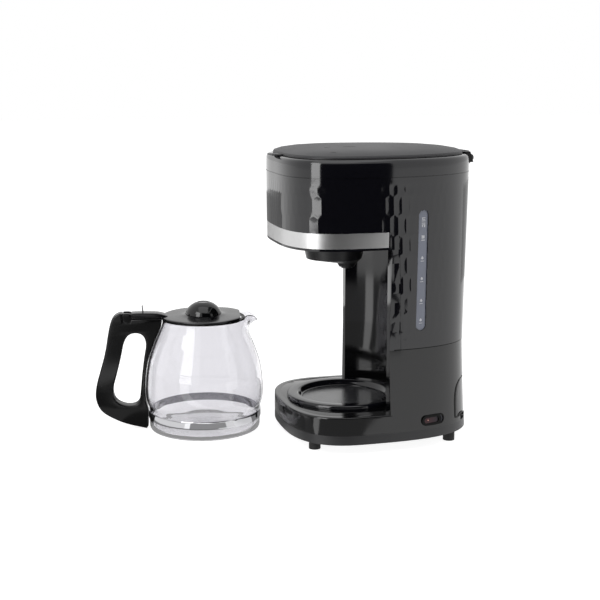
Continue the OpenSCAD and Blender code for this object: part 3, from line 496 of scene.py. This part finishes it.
for side, tag in SIDES:
    for me in skin_side(side, tag):
        if me.name == "skin_side_right":
            cut_faces(me, in_window, recalc=False)
        add(me.name, me, M["shell"], "machine", split=13)
add("skin_rear", plain_rear(), M["shell"], "machine", split=30)

# ---------------------------------------------------------------- collar, base and waist
COLLAR_STEPS, BASE_STEPS, WAIST_STEPS = 150, 110, 90               # how fine each is, round one half
HINGE_X, HINGE_Y = 0.0222, 0.134            # the gap in the collar for the lid's hinge, in metres
COLLAR = [(298.55, 1.6), (298.55, -0.1), (298.75, SKIN), (304, SKIN), (310, -0.3), (312.6, -0.1),
          (314.6, 0.45), (316.0, 1.5), (316.75, 2.9), (317.05, 4.6), (317.1, 7.2)]    # (z, inside)


def at_hinge(face):
    centre = face.calc_center_median()
    return abs(centre.x) < HINGE_X and centre.y > HINGE_Y


us = [run_end(COLLAR_Z) * i / COLLAR_STEPS for i in range(COLLAR_STEPS + 1)]
rows = []
for z, off in COLLAR:
    half = [(*on_body(u, COLLAR_Z, off)[:2], z) for u in us]
    rows.append(half + mirrored(half[-2:0:-1]))
me = grid_mesh("collar_skin", rows, wrap=True)
cut_faces(me, at_hinge, recalc=True)
add("collar_skin", me, M["shell"], "machine", split=40)

DECK_Z, DECK_R = 42.1, 1.6                  # top of the base, and the rounding of its edge
BASE_TOP = 42.0                             # highest outline of the base in the CAD
BASE_OUT = 0.12                             # the base's skin lies this much outside
BASE_END_Y = 27.5                           # where the skin of the base ends on the side
levels = [(22.35, 1.2), (22.35, 0.2)] + [(z, -BASE_OUT) for z in (22.7, 27, 32, 37, 39)]
for t in map(math.radians, range(0, 91, 15)):
    levels.append((DECK_Z - DECK_R + DECK_R * math.sin(t), DECK_R - DECK_R * math.cos(t) - BASE_OUT))
levels += [(DECK_Z, 4.0), (DECK_Z, 6.6)]
rows = []
for z, off in levels:
    z_run = min(z, BASE_TOP)
    u_end = arc_at(BASE_END_Y, z_run, BASE)
    half = [(*on_body(u_end * i / BASE_STEPS, z_run, off, BASE)[:2], z) for i in range(BASE_STEPS + 1)]
    rows.append(mirrored(half[:0:-1]) + half)
add("base_skin", grid_mesh("base_skin", rows), M["base"], "machine", split=40)

# a thin dark line round the body that shows as the shadow of its seam
WAIST_Y = 30.5                              # where the line starts on the side
rows = []
for z in (111.7, 112.2, 112.7):
    u0 = arc_at(WAIST_Y, z)
    half = [on_body(u0 + (run_end(z) - u0) * i / WAIST_STEPS, z, -0.06) for i in range(WAIST_STEPS + 1)]
    rows.append(half + mirrored(half[-2::-1]))
add("waist_seam_shadow", grid_mesh("waist_seam_shadow", rows), M["trim_and_shade"], "machine")


# ---------------------------------------------------------------- small pieces on the side and front
SWITCH_Y, SWITCH_Z = 77.0, 31.7             # middle of the switch
FRAME_LENGTH, FRAME_HEIGHT = 28.5, 11.8     # its frame
G = 61.4                                    # middle line of the gauge's marks


def side_point(y, z, h):
    """A point h millimetres proud of the side at height z, where the side passes y."""
    return on_body(arc_at(y, z), z, -h)


def front_point(x, z, h):
    """A point h millimetres proud of the front of the base at x and z."""
    s, xs, ys = run(z, BASE)
    widest = int(np.argmax(xs)) + 1
    p = on_body(float(np.interp(abs(x), xs[:widest], s[:widest])), z, -h, BASE)
    return (math.copysign(p[0], x), p[1], p[2])


def pill(half, r, n):
    """A round-ended outline (y, z) about the switch, from half its straight length and its radius."""
    return [(SWITCH_Y + math.copysign(half, c) * min(1, abs(c) * 3) + r * c, SWITCH_Z + r * s)
            for c, s in on_circle(n)]


def patch_on_side(name, points, h, mat, body, t):
    """A small flat piece on the side, from its outline in (y, z), the height of its face and its thickness."""
    top, low = ([side_point(y, z, h_) for y, z in points] for h_ in (h, h - t))
    return add(name, solid_between(name, top, low), mat, body, smooth=False)


def line_on_side(name, path, wide, h):
    """A narrow raised line that follows the side through points (y, z): a black line of painted shade along a gap.
    """
    rows = [[side_point(y + q * wide / 2, z, h_) for q, h_ in ((-1, -0.4), (-1, h), (1, h), (1, -0.4))]
            for y, z in catmull(path, 5)]
    add(name, grid_mesh(name, rows, wrap=True), M["trim_and_shade"], "machine", smooth=False)


def block(y, z, w, h):
    """A rectangle in (y, z) about a middle."""
    return [(y + a * w / 2, z + b * h / 2) for a, b in ((-1, -1), (1, -1), (1, 1), (-1, 1))]


def drop(y, z, r):
    """A water drop in (y, z), its point up."""
    return [(y + r * 0.8 * s * (1 - 0.42 * c), z + r * c) for c, s in on_circle(18)]


# frame of the switch: how far each of its edges lies inside the outermost, and how proud it stands
FRAME = ((0.0, -1.4), (0.0, 0.6), (0.25, 0.85), (1.25, 0.85), (1.5, 0.6), (1.5, -1.4), (0.0, -1.4))
straight = (FRAME_LENGTH - FRAME_HEIGHT) / 2
rows = [[side_point(y, z, h) for y, z in pill(straight, FRAME_HEIGHT / 2 - inside, 96)] for inside, h in FRAME]
add("switch_frame", grid_mesh("switch_frame", rows, wrap=True), M["trim_and_shade"], "machine", split=40)

# plain marks of the water gauge: bars at the top, then a drop over a bar
marks = [block(G, z, w, 0.9) for z, w in ((254.3, 4.2), (252.6, 3.8), (251.0, 4.4), (248.6, 4.4), (246.9, 4.4))]
marks += [block(G - 1.2, 253.4, 0.9, 2.2), block(G + 1.4, 245.6, 1.6, 2.6), block(G - 1.3, 245.6, 1.2, 2.4)]
marks += [block(G - 1.4, 234.0, 1.1, 3.6), block(G + 0.4, 233.8, 2.6, 3.2), block(G, 230.4, 4.4, 1.0)]
for z in (211.4, 189.0, 165.0, 143.5):
    marks += [drop(G - 0.3, z, 1.7), block(G - 0.3, z - 3.6, 3.8, 0.7)]
for i, mark in enumerate(marks):
    patch_on_side("gauge_mark_%02d" % (i + 1), mark, -0.45, M["mark"], "machine", 0.25)

# the two slots in the front of the base, drawn as thin black patches of painted shade: their ends from the middle,
# their lower edge there, and their top
SLOT_X, SLOT_LOW, SLOT_TOP = (16.5, 41.0), (33.0, 35.5), 39.4
for side, tag in SIDES:
    rows = []
    for t in np.linspace(0, 1, 9):
        x, low = (a + (b - a) * float(t) for a, b in (SLOT_X, SLOT_LOW))
        edges = ((low, -0.5), (low, 0.17), (SLOT_TOP, 0.17), (SLOT_TOP, -0.5))
        rows.append([front_point(side * x, z, h) for z, h in edges])
    add("spill_slot_shade_" + tag, grid_mesh("spill_slot_shade_" + tag, rows), M["trim_and_shade"], "machine", smooth=False)

# the arched panel at the back of the right side: its outline and foot are black raised lines of painted shade where
# its gap lies
line_on_side("panel_gap_shadow", [
    (121.5, 29.5), (114.5, 27.2), (110.2, 27.0), (108.5, 29.5), (108.3, 38), (108.3, 47),
    (109.3, 55), (111.2, 61.5), (114.2, 66), (118.5, 68.6), (124, 69.6)], 2.3, 0.3)
line_on_side("panel_foot_shadow", [(109.8, 28.0), (113, 28.2), (117, 29.6), (120, 31)], 4.2, 0.34)

# ---------------------------------------------------------------- hinge covers, vents and switch
HINGE_COVER = [(131.9, 318.8), (139.7, 318.9), (143.6, 307.0), (134.9, 306.5)]        # (y, z)
HINGE_COVER_X = (13.6, 22.0)
for side, tag in SIDES:
    ends = [[(x, y, z) for y, z in HINGE_COVER] for x in sorted(side * x for x in HINGE_COVER_X)]
    o = add("hinge_cover_" + tag, solid_between("hinge_cover_" + tag, *ends), M["handle"], "machine")
    bevel(o, 0.4, 2, 30)
    split_edges(o, 35)

# vents in the top of the lid, drawn as black pads of painted shade laid on the CAD's surface: middle (x, y) and
# half widths
VENTS = ((31.6, -29.4, 3.2, 3.7), (71.0, -34.5, 2.6, 3.1), (34.5, -5.4, 3.6, 6.8))
lid_node = NODES["top_lid"]
lid_tree = BVHTree.FromPolygons([lid_node.matrix_world @ v.co for v in lid_node.data.vertices],
                                [tuple(q.vertices) for q in lid_node.data.polygons])
for i, (cx, cy, rx, ry) in enumerate(VENTS):
    loop = []
    for c, s in on_circle(24):
        x, y = cx + rx * c, cy + ry * s
        z = lid_tree.ray_cast(Vector((x * MM, y * MM, 1.0)), Vector((0, 0, -1)))[0].z / MM
        loop.append((x, y, z))
    top, low = ([(x, y, z + h) for x, y, z in loop] for h in (0.1, -0.3))
    name = "lid_vent_%d" % (i + 1)
    add(name, solid_between(name, top, low), M["trim_and_shade"], "lid", smooth=False)

# the rocker's face: a red lens at the left that fades to dark, with the pilot lamp on it
paddle = patch_on_side("rocker_face", pill(7.8, 4.25, 48), 0.3, M["lens"], "rocker", 2.2)
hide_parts("switch_rocker")
patch_on_side("pilot_lamp", [(70.3 + 0.75 * c, 31.9 + 0.75 * s) for c, s in on_circle(14)], 0.37,
              M["dot"], "rocker", 0.3)

# ---------------------------------------------------------------- carafe
CARAFE_XY, CARAFE_TURN = (-0.060, -0.150), 80                      # where the jug stands, in metres and degrees
CARAFE = Matrix.Translation((*CARAFE_XY, 0)) @ Matrix.Rotation(math.radians(CARAFE_TURN), 4, "Z")
W = 8                                       # half the width of the handle
CHEEK_IN, BARREL_W, FIN_W = 4.3, 3.9, 3.8   # inner face of its cheeks, and half widths of the barrel and fin


def bridge(bm, a, b, n):
    """Faces between two rings of n points, where a ring may also be one point."""
    for i in range(n):
        k = (i + 1) % n
        q = [a[i % len(a)], a[k % len(a)], b[k % len(b)], b[i % len(b)]]
        q = [v for j, v in enumerate(q) if v not in q[:j]]
        if len(q) > 2:
            bm.faces.new(q)


def turned(name, profile, n, closed=False, place=None, shaped=None):
    """A turned mesh from a profile of (r, z), with its points passed through shaped if that is given."""
    bm = bmesh.new()
    rings = []
    for r, z in profile:
        ring = [(r * c, r * s, z) for c, s in (on_circle(n) if r else [(1, 0)])]
        if shaped:
            ring = [shaped(*p) for p in ring]
        rings.append([bm.verts.new([v * MM for v in p]) for p in ring])
    for a, b in zip(rings, rings[1:] + rings[:1] if closed else rings[1:]):
        bridge(bm, a, b, n)
    return written(bm, bpy.data.meshes.new(name), place)


def quarter_points(a, b):
    """The points a quarter of the way in from both ends of a stretch."""
    return [tuple(p * v + q * w for v, w in zip(a, b)) for p, q in ((0.75, 0.25), (0.25, 0.75))]


def smooth_loop(p, times):
    """A closed outline with its corners cut, some times over."""
    for _ in range(times):
        p = [q for a, b in zip(p, p[1:] + p[:1]) for q in quarter_points(a, b)]
    return p


def smooth_run(p, times):
    """An open outline with its corners cut, some times over, and its ends kept."""
    for _ in range(times):
        p = [p[0]] + [q for a, b in zip(p, p[1:]) for q in quarter_points(a, b)] + [p[-1]]
    return p


def slab(name, loops, b0, b1, edge):
    """A plate in the jug's upright plane, from loops of (a, z), between b0 and b1, with rounded edges."""
    cu = bpy.data.curves.new(name, "CURVE")
    cu.dimensions = "2D"
    cu.fill_mode = "BOTH"
    cu.extrude = (b1 - b0) / 2 * MM - edge * MM
    cu.bevel_depth = edge * MM
    cu.offset = -edge * MM
    cu.bevel_resolution = 3
    for loop in loops:
        sp = cu.splines.new("POLY")
        sp.points.add(len(loop) - 1)
        for q, (x, z) in zip(sp.points, loop):
            q.co = (x * MM, z * MM, 0, 1)
        sp.use_cyclic_u = True
    o = bpy.data.objects.new(name + "_curve", cu)
    me = bpy.data.meshes.new_from_object(o)
    bpy.data.objects.remove(o)
    bpy.data.curves.remove(cu)
    bm = bmesh.new()
    bm.from_mesh(me)
    bmesh.ops.remove_doubles(bm, verts=bm.verts, dist=0.00001)
    upright = Matrix.Translation((0, (b0 + b1) / 2 * MM, 0)) @ Matrix.Rotation(math.radians(90), 4, "X")
    return written(bm, me, CARAFE @ upright)


def joined(name, meshes):
    """One mesh from several."""
    bm = bmesh.new()
    for m in meshes:
        bm.from_mesh(m)
    return written(bm, bpy.data.meshes.new(name), recalc=False)


# ---- the glass, with its wall from the shoulder to the neck as (z, r)
GLASS_H, GLASS_T = 128.4, 2.2
WALL = [(42, 67.6), (50, 67.5), (60, 66.9), (70, 65.7), (80, 63.6), (90, 60.4), (100, 56.7),
        (108, 53.3), (116, 49.7), (121, 47.8), (125, 46.9)]
outer = [(0, 0.6), (50, 0.6), (58.0, 0.2), (61.4, 0.7), (63.0, 2.4), (63.6, 5.5), (63.6, 16),
         (63.6, 24), (64.4, 27.5), (65.9, 31.5), (67.1, 36.5)]
outer += [(r, z) for z, r in WALL]
outer += [(46.8, 127.2), (46.8, 128.0), (46.2, GLASS_H), (45.4, GLASS_H)]
inner = [(44.8, 127.9), (44.7, 127.0)] + [(r - GLASS_T, z) for z, r in WALL[::-1]]
inner += [(64.9, 36.5), (63.8, 31.5), (62.2, 27.5), (61.4, 24), (61.4, 16), (61.3, 8.5),
          (60.0, 5.0), (57.0, 3.2), (50, 2.8), (0, 3.4)]
glass_me = turned("glass_jug", catmull(outer, 3) + catmull(inner, 3), 180)

# the pouring spout is drawn out of the neck: how far each point of the rim moves, by its angle
SPOUT_ANGLE, SPOUT_Z = 32, 106
RIM = [(-32, 0, 0, 0), (-23, 2.2, 0, 2.6), (-14, 6.0, 0, 4.6), (-7, 11.4, 0.6, 2.6), (0, 15.4, 0, -2.6),
       (7, 11.4, -0.6, 2.6), (14, 6.0, 0, 4.6), (23, 2.2, 0, 2.6), (32, 0, 0, 0)]
rim_angle, *rim_moves = zip(*catmull(RIM, 8))
for v in glass_me.vertices:
    angle = math.degrees(math.atan2(v.co.y, v.co.x))
    t = (v.co.z / MM - SPOUT_Z) / (GLASS_H - SPOUT_Z)
    if abs(angle) < SPOUT_ANGLE and t > 0 and v.co.x > 0:
        move = [float(np.interp(angle, rim_angle, m)) for m in rim_moves]
        v.co += Vector(move) * (MM * min(1.0, t) ** 2.6)
glass_me.transform(CARAFE)
jug = add("glass_jug", glass_me, M["glass"], "carafe")
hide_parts("carafe_glass", "carafe_spout")

# ---- the steel hoop round its foot
HOOP = [(63.75, 14.0), (64.55, 14.05), (64.75, 14.4), (64.8, 14.8), (64.8, 16), (64.8, 18.5),
        (64.8, 21), (64.8, 22.2), (64.75, 22.6), (64.55, 22.95), (63.75, 23.0)]
hoop_me = turned("steel_hoop", HOOP, 180, closed=True, place=CARAFE)
add("steel_hoop", hoop_me, M["chrome"], "carafe", split=40)

# ---- the handle: the grip with its opening, and the two cheeks beside the lid's hinge
GRIP_A = -124                               # how far out the grip reaches
wall_z, wall_r = zip(*WALL)
grip_in = [(-(float(np.interp(z, wall_z, wall_r)) + 0.4), z)
           for z in (126, 121, 116, 108, 100, 90, 80, 70, 60, 50, 42)]
grip_out = smooth_run(
    [(-91.7, 134.8), (-92.4, 136.2), (-95.5, 136.3), (-101.6, 133.0), (-105.2, 127.5), (-108.4, 114)]
    + [(GRIP_A + a, z) for a, z in ((12, 92), (6, 71), (0.8, 54), (-1, 40), (1.4, 29), (7, 20.5),
                                    (18, 13.5), (33, 6.6))]
    + [(-67, 0.8)], 2)
grip_hole = smooth_loop([
    (-70.2, 113), (-84, 113.4), (-91, 104), (-95, 84), (-100.5, 63), (-105.5, 46), (-102, 33),
    (-88, 27), (-75, 30), (-73, 46), (-71.0, 66), (-68.2, 86), (-65.0, 102)], 2)
grip = [(-47.6, 129.6), (-82.4, 129.6), (-83.6, 126), (-91.7, 126)] + grip_out
grip += [(-65.1, 4), (-65.1, 24), (-67.2, 33)] + grip_in[::-1]
cheek = smooth_loop([(-91.6, 125), (-91.6, 135.6), (-90.6, 136.4), (-83.6, 136.4), (-81.6, 134.5),
                     (-81.6, 127.5), (-83.4, 125)], 1)
cheeks = [slab("cheek", [cheek], *sorted((q * CHEEK_IN, q * W)), 0.5) for q in (1, -1)]
me = joined("jug_handle", [slab("grip", [grip, grip_hole], -W, W, 1.7)] + cheeks)
handle = add("jug_handle", me, M["handle"], "carafe", split=35)
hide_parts("carafe_handle")

# ---- the collar on the rim
SEAT = [(43.6, 128.5), (47.3, 128.5), (47.5, 128.7), (47.5, 129.6), (47.3, 129.8), (43.6, 129.8)]
seat_me = turned("neck_seat", SEAT, 150, closed=True, place=CARAFE)
seat = add("neck_seat", seat_me, M["trim_and_shade"], "carafe", split=40)
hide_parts("carafe_collar")

# ---- the lid: a disc cut straight over the spout, with its strap, hinge barrel and fin
LID_CUT, LID_LOW = 41.8, 130
LID = [(0, 130.0), (30, 130.0), (46.8, 130.0), (47.4, 130.2), (47.6, 131.0), (47.3, 131.7), (46.4, 132.0),
       (44, 132.15), (36, 132.3), (28, 132.6), (22.5, 133.0), (21.2, 133.4), (21.0, 133.0), (0, 133.0)]
HINGE_A, HINGE_Z, HINGE_R = -87, 131, 4.1


def lid_shape(x, y, z):
    """Cuts the disc straight over the spout, and raises its top a little there and to one side."""
    x = min(x, LID_CUT + 0.02 * (z - LID_LOW))
    rise = 0.9 * smooth_step(x, 12, 40) + 0.5 * smooth_step(y, 0, 40)
    return (x, y, z + (rise if z > LID_LOW + 0.6 else 0))


disc = turned("lid_disc", LID, 180, place=CARAFE, shaped=lid_shape)
strap = smooth_loop([(-83.0, 130.4), (-83.0, 134.8), (-81.2, 136.5), (-60, 136.3), (-50, 135.6),
                     (-42, 133.2), (-40, 132.0), (-40, 130.6), (-60, 130.3)], 1)
barrel = [(HINGE_A + HINGE_R * math.cos(t), HINGE_Z + HINGE_R * math.sin(t))
          for t in map(math.radians, range(60, 301, 20))] + [(-82.0, 130.2), (-82.0, 135.0)]
fin = [(-69.2, 136.0), (-68.0, 136.0), (-68.9, 144.0), (-69.9, 144.2)]
me = joined("jug_lid", [
    disc, slab("strap", [strap], -W + 0.3, W - 0.3, 0.6),
    slab("barrel", [barrel], -BARREL_W, BARREL_W, 0.4), slab("fin", [fin], -FIN_W, FIN_W, 0.3)])
lid_part = add("jug_lid", me, M["jug_lid"], "carafe_lid", split=35)
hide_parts("carafe_lid")

# ---- the knob, a dome with a shallow hollow on top
KNOB = [(0, 133.05), (19.5, 133.05), (20.3, 133.4), (20.3, 134.4), (19.5, 137.2), (17.6, 140.4),
        (14.6, 143.4), (10.8, 145.9), (7.2, 147.3)]
HOLLOW = [(6.6, 147.45), (6.3, 147.3), (6.1, 146.9), (0, 146.9)]
knob_me = turned("lid_knob", catmull(KNOB, 3) + HOLLOW, 120, place=CARAFE)
knob = add("lid_knob", knob_me, M["gloss"], "carafe_lid", split=40)
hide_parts("carafe_lid_cap")

# ---------------------------------------------------------------- camera, in metres
PICTURE = 600                               # the photograph's width in pixels
AZ, EL, DIST = math.radians(75.0), math.radians(10.6), 1.340
TARGET = Vector((0, -0.049, 0.160))
back = Vector((math.sin(AZ) * math.cos(EL), -math.cos(AZ) * math.cos(EL), math.sin(EL)))
cam = bpy.data.objects.new("camera", bpy.data.cameras.new("camera"))
bpy.context.scene.collection.objects.link(cam)
cam.data.sensor_width = 36.0
cam.data.lens = 72.0
cam.data.shift_x = -2.0 / PICTURE
cam.data.shift_y = -4.0 / PICTURE
cam.location = TARGET + back * DIST
cam.rotation_mode = "QUATERNION"
cam.rotation_quaternion = (-back).to_track_quat("-Z", "Y")
cam.data.clip_start, cam.data.clip_end = 0.05, 50
bpy.context.scene.camera = cam

# ---------------------------------------------------------------- studio, in metres
WHITE = (1, 1, 1, 1)


def plain_or_seen(nt, plain, seen, surface):
    """Sends plain to surface for lighting, and seen where the camera, a mirror or glass looks."""
    ray = node(nt, "ShaderNodeLightPath")
    looks = ray.outputs["Is Camera Ray"]
    for kind in ("Is Glossy Ray", "Is Transmission Ray"):
        either = node(nt, "ShaderNodeMath", operation="MAXIMUM")
        nt.links.new(looks, either.inputs[0])
        nt.links.new(ray.outputs[kind], either.inputs[1])
        looks = either.outputs[0]
    pick = node(nt, "ShaderNodeMixShader")
    nt.links.new(looks, pick.inputs["Fac"])
    nt.links.new(plain.outputs[0], pick.inputs[1])
    nt.links.new(seen.outputs[0], pick.inputs[2])
    nt.links.new(pick.outputs[0], surface)


floor_me = bpy.data.meshes.new("floor")
floor_me.from_pydata([(-9, -9, 0), (9, -9, 0), (9, 9, 0), (-9, 9, 0)], [], [(0, 1, 2, 3)])
floor = bpy.data.objects.new("floor", floor_me)
bpy.context.scene.collection.objects.link(floor)
m, nt, out = blank_material("floor_white")
matt = node(nt, "ShaderNodeBsdfDiffuse", Color=(0.62, 0.62, 0.62, 1))
glow = node(nt, "ShaderNodeEmission", Color=WHITE, Strength=0.9)
both = node(nt, "ShaderNodeAddShader")
nt.links.new(matt.outputs[0], both.inputs[0])
nt.links.new(glow.outputs[0], both.inputs[1])
plain_or_seen(nt, matt, both, out.inputs["Surface"])
floor_me.materials.append(m)

world = bpy.data.worlds.new("studio")
bpy.context.scene.world = world
world.use_nodes = True
nt = world.node_tree
nt.nodes.clear()
light, backdrop = (node(nt, "ShaderNodeBackground", Color=WHITE, Strength=s) for s in (0.45, 1.0))
plain_or_seen(nt, light, backdrop, node(nt, "ShaderNodeOutputWorld").inputs["Surface"])


def lamp(name, loc, look, size, power):
    """A square area lamp at loc that faces look."""
    d = bpy.data.lights.new(name, "AREA")
    d.energy = power
    d.shape = "SQUARE"
    d.size = size
    o = bpy.data.objects.new(name, d)
    bpy.context.scene.collection.objects.link(o)
    o.location = loc
    o.rotation_mode = "QUATERNION"
    o.rotation_quaternion = (Vector(look) - Vector(loc)).to_track_quat("-Z", "Y")


def sheet(name, az0, az1, low, high, level, c):
    """A flag or reflector that only reflections see: a curved sheet about c between two edges (r, z)."""
    n = 24
    vs = []
    for i in range(n + 1):
        t = math.radians(az0 + (az1 - az0) * i / n)
        vs += [(c[0] + r * math.sin(t), c[1] - r * math.cos(t), z) for r, z in (low, high)]
    me = bpy.data.meshes.new(name)
    me.from_pydata(vs, [], [(2 * i, 2 * i + 2, 2 * i + 3, 2 * i + 1) for i in range(n)])
    o = bpy.data.objects.new(name, me)
    bpy.context.scene.collection.objects.link(o)
    m, nt, out = blank_material(name)
    glow = node(nt, "ShaderNodeEmission", Color=WHITE, Strength=level)
    nt.links.new(glow.outputs[0], out.inputs["Surface"])
    me.materials.append(m)
    o.visible_camera = o.visible_diffuse = o.visible_transmission = o.visible_shadow = False
    o.visible_volume_scatter = False


def card(name, az0, az1, r, z0, z1, level, c=(0.0, 0.0)):
    """An upright sheet round c."""
    sheet(name, az0, az1, (r, z0), (r, z1), level, c)


def floor_flag(name, az0, az1, r0, r1, z, level, c):
    """A sheet that lies just over the floor."""
    sheet(name, az0, az1, (r0, z), (r1, z), level, c)


card("flag_front", 49.6, 116.5, 0.45, 0.065, 0.5, 0.0)
BASE_C = (0.055, -0.058)                    # what the flags for the base stand round
BASE_FLAGS = (("base", 33, 116.5, 0.38), ("base_left", -110, 16, 0.30), ("base_strip", 16, 33, 2.6))
for name, az0, az1, level in BASE_FLAGS:
    card("flag_" + name, az0, az1, 0.455, 0.0, 0.065, level, BASE_C)
    floor_flag("floor_" + name, az0, az1, 0.08, 0.45, 0.0015, level, BASE_C)
HOOP_FLAGS = ((-75, 49.5, 1.05), (49.5, 57.5, 1.6), (57.5, 111, 0.42), (111, 124, 1.1))
for i, (az0, az1, level) in enumerate(HOOP_FLAGS):
    floor_flag("floor_hoop_%d" % i, az0, az1, 0.100, 0.155, 0.0022, level, CARAFE_XY)
for name, z0, z1 in (("low", 0.065, 0.150), ("mid", 0.158, 0.190), ("high", 0.205, 0.9)):
    card("strip_front_" + name, 24, 46, 0.96, z0, z1, 6.0)
card("flag_left", -100, -62, 1.1, 0.02, 0.17, 0.35)
card("flag_right", -160, -116, 1.1, 0.0, 0.2, 0.7)
lamp("top", (0.5, -0.2, 1.7), (0, -0.05, 0.1), 1.6, 7.0)
lamp("key", (0.8, -1.5, 1.3), (0, 0, 0.15), 0.7, 6.0)

bpy.context.scene.view_settings.view_transform = "Standard"
